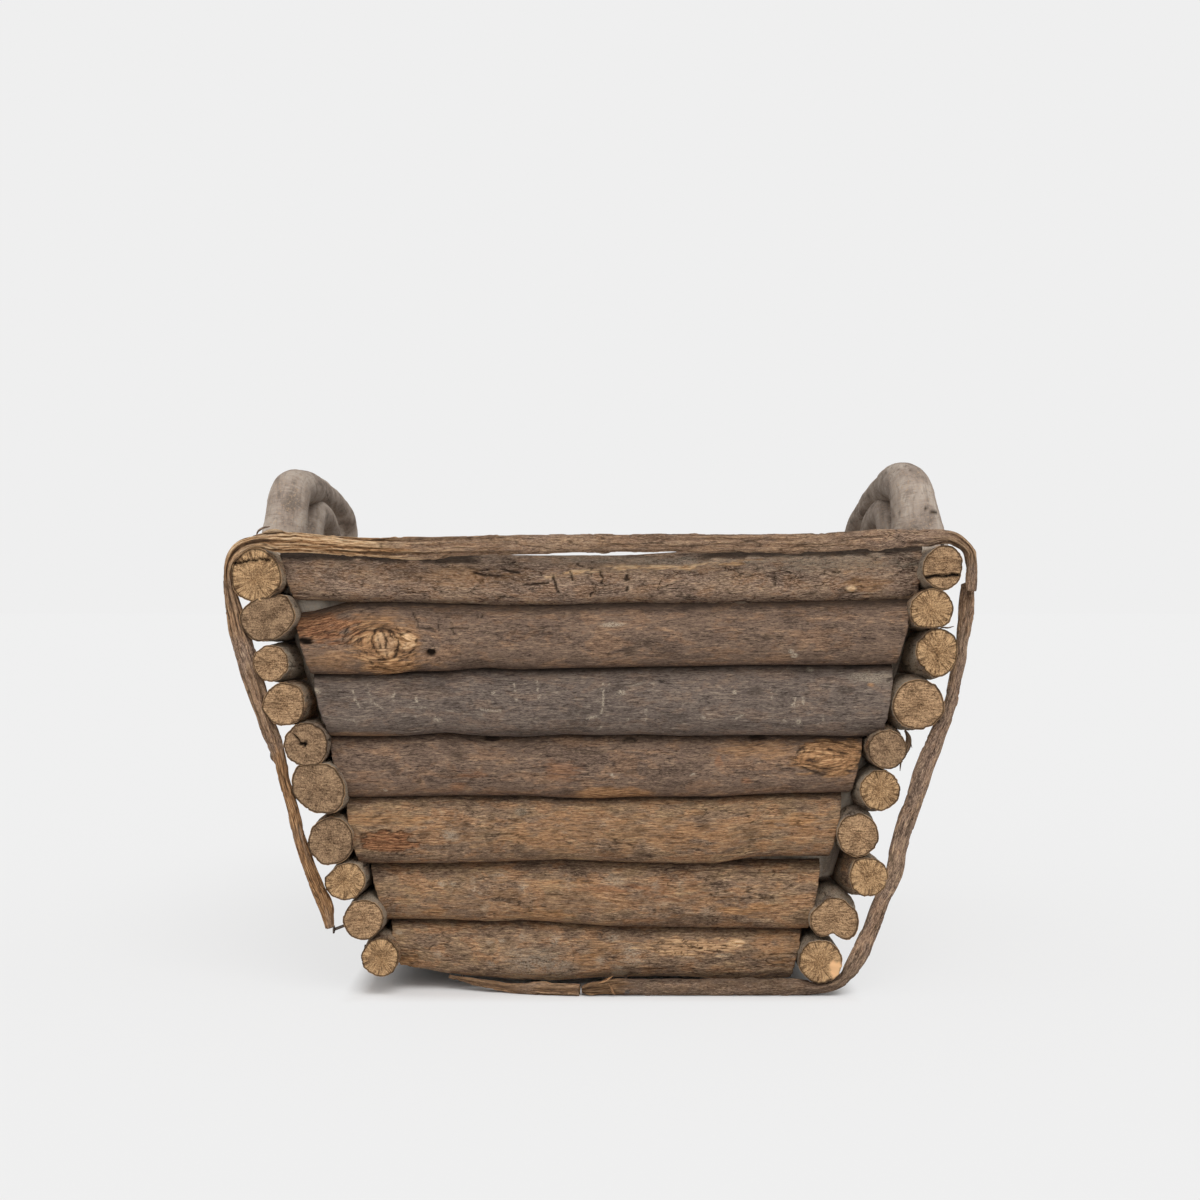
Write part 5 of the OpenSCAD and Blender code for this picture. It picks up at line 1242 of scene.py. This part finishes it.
def withy(name, points, k, around, cuts, splits=(), edges=None):
    """A thin binding rod, split and fibrous in places."""
    stick = Stick("bark_" + name, around, cuts, (0.2, 0.4), 120 + k)
    if edges:
        points = edge_path(edges, points)
    middle, across, over, ahead, half, thick, length = bent(stick, points, np.array([0, 1.0, 0]), 4.8)
    seed = 2100 + 29 * k
    grain = stick.grain(length, 4.4)
    full = stick.grain(length, 4.4, np.ones(len(stick.rho)))
    px, py = pixels(middle)
    lift = 0.28 * layers(full * (0.06, 0.55, 0.55), seed, 3) + 0.3 * layers(full * (0.05, 0.12, 0.12), seed + 4, 2)
    lift = lift + 0.55 * ease(-0.04, 0.08, layers(full * (0.07, 0.28, 0.28), seed + 5, 3)) - 0.55
    buds = ease(0.55, 0.9, noise(full * (0.06, 0.14, 0.14), seed + 6))
    lift = lift + 1.1 * buds
    line = veins(full * (0.03, 0.34, 0.34), seed + 9, 0.08)
    lift = lift - 0.4 * line
    marks = {"dark": 0.6 * line, "bare": np.zeros(len(line)), "pale": np.zeros(len(line))}
    if splits:
        for (x, y, rx, ry, bare, pale, groove) in splits:
            spot = blob(px, py, x, y, rx, ry, 0.4, 0.3 * layers(full * (0.05, 0.5, 0.5), seed + 12, 2))
            marks["bare"] = np.maximum(marks["bare"], bare * spot)
            threads = layers(full * (0.012, 0.6, 0.6), seed + 15, 3)
            marks["pale"] = np.maximum(marks["pale"], pale * spot * ease(-0.05, 0.15, threads))
            lift = lift + 1.3 * groove * spot * threads
            marks["dark"] = np.maximum(marks["dark"], 0.9 * spot * groove * ease(-0.1, -0.35, threads))
    # painted shade: the front side rod darkens towards its lowest run, near the floor
    if k == 1:
        marks["dark"] = np.maximum(marks["dark"], 0.5 * ease(950, 985, py) * (0.8 + 0.4 * layers(full * (0.05, 0.4, 0.4), seed, 3)))
    stick.marks = marks
    flat = (half + lift) * stick.rho * np.cos(stick.phi)
    deep = (thick * np.minimum(1, half / 3.2) + lift) * stick.rho * np.sin(stick.phi)
    places = middle + across * flat[:, None] + over * deep[:, None]
    places[:, 2] = np.maximum(places[:, 2], 0.0)
    return stick.finish(places, grain, withy_bark, sawn_wood, name)


def sliver(name, points, y, half, k, marks):
    """A thin splinter through points of the photograph, y mm deep, pointed at both ends."""
    stick = Stick("bark_" + name, 12, (5, 4), (0.4,), 140 + k)
    scale = (y - CAMERA_AT[1]) / LENS_PX
    line = [(CAMERA_AT[0] + (a - PHOTO / 2) * scale, y, CAMERA_AT[2] - (b - PHOTO / 2) * scale, half) for a, b in points]
    middle, across, over, ahead, thick, _, length = bent(stick, line, np.array([0, 1.0, 0]))
    grain = stick.grain(length, half)
    r = thick * (0.25 + 0.75 * np.sin(np.pi * stick.t)) * stick.rho
    stick.marks = {key: np.full(len(r), value) for key, value in marks.items()}
    places = middle + across * (r * np.cos(stick.phi))[:, None] + over * (r * np.sin(stick.phi))[:, None]
    return stick.finish(places, grain, withy_bark, sawn_wood, None)


for k in range(7):
    front_twig(k)
for i in range(7):
    back_twig(i)
for sd in (-1, 1):
    for i in range(10):
        side_twig(sd, i)
for j in range(11):
    floor_twig(j)
for k, name in enumerate(("front_left_post", "back_left_post", "front_right_post", "back_right_post")):
    post(name, k)
for k, (name, points) in enumerate((("left_handle_outer_bow", LEFT_OUTER), ("left_handle_inner_bow", LEFT_INNER),
                                    ("right_handle_outer_bow", RIGHT_OUTER), ("right_handle_inner_bow", RIGHT_INNER))):
    bow(name, points, k)
# Where the front rod's bark is gone: centre and reach in the photograph, then how bare, how pale
# and how deeply split it is there.
RIM_SPLITS = ((320, 547, 95, 15, 0.95, 0.9, 0.9), (232, 560, 14, 26, 0.8, 0.4, 0.9), (440, 545, 90, 9, 0.35, 0.2, 0.5),
              (233, 610, 12, 40, 0.5, 0.2, 0.8), (700, 545, 160, 9, 0.25, 0.1, 0.4), (262, 710, 16, 60, 0.35, 0.1, 0.5),
              (290, 790, 16, 50, 0.9, 0.0, 0.15), (320, 870, 24, 75, 0.95, 0.0, 0.1), (960, 548, 26, 16, 0.45, 0.3, 0.7))
SIDE_SPLITS = ((600, 988, 26, 12, 0.8, 0.2, 0.9), (960, 600, 12, 30, 0.2, 0.0, 0.4))
SCRAP_SPLITS = ((560, 990, 26, 12, 0.6, 0.3, 0.5), (470, 985, 50, 12, 0.6, 0.1, 0.5))
# Outer and inner edge of the front rods in the photograph, pixels.
RIM_EDGES = (
    (326, 930, 334, 925), (321, 915, 333, 911), (315, 900, 328, 896), (309, 885, 322, 881), (304, 870, 316, 867),
    (299, 855, 311, 852), (294, 840, 306, 837), (290, 825, 303, 821), (286, 810, 299, 807), (282, 795, 294, 792),
    (279, 780, 289, 777), (275, 765, 287, 761), (269, 750, 284, 745), (262, 735, 279, 729), (258, 720, 272, 715),
    (252, 705, 268, 700), (247, 690, 264, 685), (242, 675, 260, 670), (237, 660, 257, 655), (232, 645, 253, 640),
    (229, 630, 248, 626), (227, 615, 243, 611), (225, 600, 238, 597), (223, 585, 234, 583), (223, 570, 232.5, 569),
    (226, 556, 236.5, 561), (231, 546.5, 243, 555), (238, 541, 249, 550.5), (249, 536.5, 256, 548.5),
    (262, 533, 266, 549), (279, 531.5, 280, 552.5), (303, 532.5, 303, 552), (336, 535, 336, 554.5),
    (375, 536.5, 375, 557), (420, 536.5, 420, 558), (450, 536, 450, 556), (500, 535, 500, 554),
    (550, 534.3, 550, 553.8), (600, 534, 600, 552.5), (650, 534, 650, 552), (700, 533.5, 700, 552.5),
    (750, 533.5, 750, 552.5), (800, 533.5, 800, 552.5), (830, 533, 830, 552), (858, 531.5, 858, 549.5),
    (887, 529, 887, 548.5), (915, 529, 914, 547), (935, 529.5, 932, 545), (950, 531, 944, 543), (960, 535, 952, 545),
    (968, 541.5, 959, 549), (974, 549, 963.5, 554), (976.5, 558, 965, 561), (977.5, 570, 965.5, 571),
    (978, 582, 965.5, 582), (976, 591, 966.5, 591))
SIDE_EDGES = (
    (581.5, 992, 581.5, 987), (591, 995.3, 590, 983), (606, 995.3, 605, 981), (620, 995.3, 620, 979), (650, 995.3, 650, 978.5), (700, 995.3, 700, 978.5),
    (760, 995.3, 760, 978), (795, 995.3, 797, 979), (817, 994, 815, 982), (832, 991, 826, 981), (842, 987, 834, 978),
    (850, 981, 841, 973), (858, 972, 846, 964), (867, 960, 852, 951), (873, 945, 857, 939), (879, 930, 863, 925),
    (885, 915, 868, 910), (890, 900, 874, 896), (898, 885, 881, 880), (904, 870, 886, 867), (906, 855, 889, 851),
    (910, 840, 893, 836), (915, 825, 897, 821), (920, 810, 903, 806), (925, 795, 908, 791), (930, 780, 912, 776),
    (935, 765, 918, 760), (941, 750, 924, 745), (946, 735, 930, 730), (952, 720, 937, 716), (957, 705, 943, 702),
    (960, 690, 947, 687), (962.5, 675, 950, 672), (966, 660, 953, 658), (968, 645, 955, 644), (971, 630, 956.5, 629),
    (973, 615, 958, 614), (974, 600, 959.5, 600), (972, 588, 961, 588), (969, 583, 961, 583))
SCRAP_EDGES = (
    (579.5, 997, 579.5, 984.5), (560, 997, 560, 984.3), (540, 996, 540, 984), (520, 993.5, 520, 983.5),
    (505, 991, 505, 983), (490, 988, 490, 980.5), (475, 984.5, 475, 978.5), (460, 980.5, 460, 976.5), (449, 977.5, 449, 975))
withy("front_rim_rod", RIM_ROD, 0, 80, (24, 23), RIM_SPLITS, RIM_EDGES)
withy("front_side_rod", SIDE_ROD, 1, 64, (21, 20), SIDE_SPLITS, SIDE_EDGES)
withy("front_scrap_rod", SCRAP_ROD, 2, 56, (11, 9), SCRAP_SPLITS, SCRAP_EDGES)
withy("back_hoop_rod", HOOP_ROD, 3, 40, (24, 23))
SLIVERS = (
    (((261, 534), (268, 531.2), (276, 530.2), (283, 531)), -206, 0.9, {"bare": 0.6, "pale": 1.0}),
    (((256, 537), (258, 531.5), (263, 528), (270, 526.5)), -203, 0.7, {"dark": 0.2}),
    (((598, 983.5), (604, 981), (609, 978.5), (613, 976)), -210.5, 0.8, {"bare": 0.9}),
    (((608, 983), (611, 987), (613, 992), (615.5, 995)), -210.8, 0.8, {"bare": 0.8}),
    (((938, 629), (943, 627.5), (948, 627.8), (954, 626.2)), -200, 0.5, {"dark": 0.3}),
    (((905, 730), (908.5, 738), (907, 748), (901, 759)), -199, 2.0, {"dark": 0.5}),
    (((904, 731), (908, 735), (910, 741), (912, 748)), -199.5, 0.6, {"dark": 0.2}),
    (((902, 746), (904, 754), (901, 761), (900, 771)), -199.5, 0.7, {"dark": 0.4}),
    (((882, 731), (882.5, 728), (884, 726), (886, 729)), -200, 0.5, {"bare": 0.5}),
    (((271, 752), (273, 757), (276, 761), (278, 761)), -205, 1.7, {"dark": 0.6}))
for k, (points, y, half, marks) in enumerate(SLIVERS):
    sliver("sliver_%d" % (k + 1), points, y, half, k, marks)

iron, tree, shader = surface("rusted_nail_iron", 0.55, 0.4)
shader.inputs["Metallic"].default_value = 0.75
spots = cloud(tree, node(tree, "ShaderNodeVectorMath", {"operation": "SCALE"},
                         i0=node(tree, "ShaderNodeTexCoord").outputs["Object"], Scale=1400.0).outputs[0], 4, 0.6)
tree.links.new(ramp(tree, spots, (0.38, "#6a6560"), (0.55, "#54463c"), (0.7, "#5f3a26")), shader.inputs["Base Color"])
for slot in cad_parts["handle_nails"].material_slots:
    slot.material = iron


# Front nails that stay in the rods as the photograph shows them, and the one that stands loose:
# where the CAD has them (least and most x, least and most z, mm), how far each is moved, and how
# much it is tipped, mm of height per mm to the right.
BINDING_NAIL_MOVES = (((-196, -174, 116, 126), (2.2, 0, 0.8), 0), ((-214, -192, 168, 178), (4.3, 0, 1.6), 0),
                      ((161, 184, 62, 73), (-4.5, 0, 1.7), 0), ((192, 216, 168, 179), (-1.5, 0, 0.6), 0),
                      ((12, 18, 0, 14), (0, 2.6, 0), 0), ((-89, -83, 0, 17), (0, 8, 3.5), 0))
WALL_NAIL_MOVES = (((-167, -118, 44, 50), (0, 0, -11.3), 0.38),)
FRONT_NAILS = -170    # mm; only nails before this plane are moved, so that none behind it tears


def moved_nails(name, moves):
    """A copy of the CAD's nails with the front ones moved and tipped."""
    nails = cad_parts[name].copy()
    nails.data = nails.data.copy()
    nails.name = nails.data.name = "iron_" + name
    bpy.context.scene.collection.objects.link(nails)
    places = np.empty(len(nails.data.vertices) * 3)
    nails.data.vertices.foreach_get("co", places)
    places = places.reshape(-1, 3) / MM
    x, y, z = places.T.copy()
    for (x0, x1, z0, z1), move, slope in moves:
        mine = (x > x0) & (x < x1) & (z > z0) & (z < z1) & (y < FRONT_NAILS)
        places[mine] += move
        places[mine, 2] += slope * (x[mine] - x0)
    nails.data.vertices.foreach_set("co", (places * MM).ravel())
    nails.data.materials.clear()
    nails.data.materials.append(iron)
    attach(nails, "root")
    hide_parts(name)


moved_nails("binding_nails", BINDING_NAIL_MOVES)
moved_nails("wall_nails", WALL_NAIL_MOVES)

for stick in blanks.values():
    mesh = stick.data
    bpy.data.objects.remove(stick)
    bpy.data.meshes.remove(mesh)

# Pale floor and backdrop, soft light from above and the right.
PAPER = "#EFEFEF"
deselect()
bpy.ops.mesh.primitive_plane_add(size=60, location=(0, 0, 0))
floor = bpy.context.object
floor.name = "floor"
paper, tree, shader = surface("white_paper", 1.0, 0.0)
shader.inputs["Base Color"].default_value = linear("#F4F4F4")
glow = node(tree, "ShaderNodeEmission", Color=linear(PAPER), Strength=1.0)
camera_ray = node(tree, "ShaderNodeLightPath").outputs["Is Camera Ray"]
far = node(tree, "ShaderNodeVectorMath", {"operation": "ABSOLUTE"}, i0=node(tree, "ShaderNodeTexCoord").outputs["Object"])
far = node(tree, "ShaderNodeSeparateXYZ", Vector=far.outputs[0])
far = maths(tree, "MAXIMUM", maths(tree, "DIVIDE", far.outputs[0], 0.29), maths(tree, "DIVIDE", far.outputs[1], 0.416))
lit = node(tree, "ShaderNodeMixShader", Fac=maths(tree, "MULTIPLY", camera_ray, ramp(tree, far, (0.49, 0.0), (0.545, 0.82))))
tree.links.new(shader.outputs[0], lit.inputs[1])
tree.links.new(glow.outputs[0], lit.inputs[2])
tree.links.new(lit.outputs[0], tree.nodes["Material Output"].inputs["Surface"])
floor.data.materials.append(paper)

world = bpy.data.worlds.new("studio")
bpy.context.scene.world = world
world.use_nodes = True
tree = world.node_tree
tree.nodes.clear()
rays = node(tree, "ShaderNodeLightPath")
seen = maths(tree, "MAXIMUM", maths(tree, "MAXIMUM", rays.outputs["Is Camera Ray"], rays.outputs["Is Glossy Ray"]),
             rays.outputs["Is Transmission Ray"])
light = node(tree, "ShaderNodeBackground", Color=(1, 1, 1, 1), Strength=0.62)
paper_seen = node(tree, "ShaderNodeBackground", Color=linear(PAPER), Strength=1.0)
mix = node(tree, "ShaderNodeMixShader", Fac=seen)
tree.links.new(light.outputs[0], mix.inputs[1])
tree.links.new(paper_seen.outputs[0], mix.inputs[2])
tree.links.new(mix.outputs[0], node(tree, "ShaderNodeOutputWorld").inputs["Surface"])


def sun(name, strength, turn, wide):
    lamp = bpy.data.lights.new(name, "SUN")
    lamp.energy = strength
    lamp.angle = math.radians(wide)
    thing = bpy.data.objects.new(name, lamp)
    thing.rotation_euler = [math.radians(a) for a in turn]
    bpy.context.scene.collection.objects.link(thing)


sun("key_light", 1.15, (38, 0, 18), 35)
sun("front_light", 0.8, (70, 0, -10), 60)

view = bpy.data.cameras.new("camera")
view.sensor_width = 36
view.lens = LENS_PX * 36 / PHOTO
camera = bpy.data.objects.new("camera", view)
camera.location = [c * MM for c in CAMERA_AT]
camera.rotation_euler = (math.pi / 2, 0, 0)
bpy.context.scene.collection.objects.link(camera)
bpy.context.scene.camera = camera
bpy.context.scene.view_settings.view_transform = "Standard"
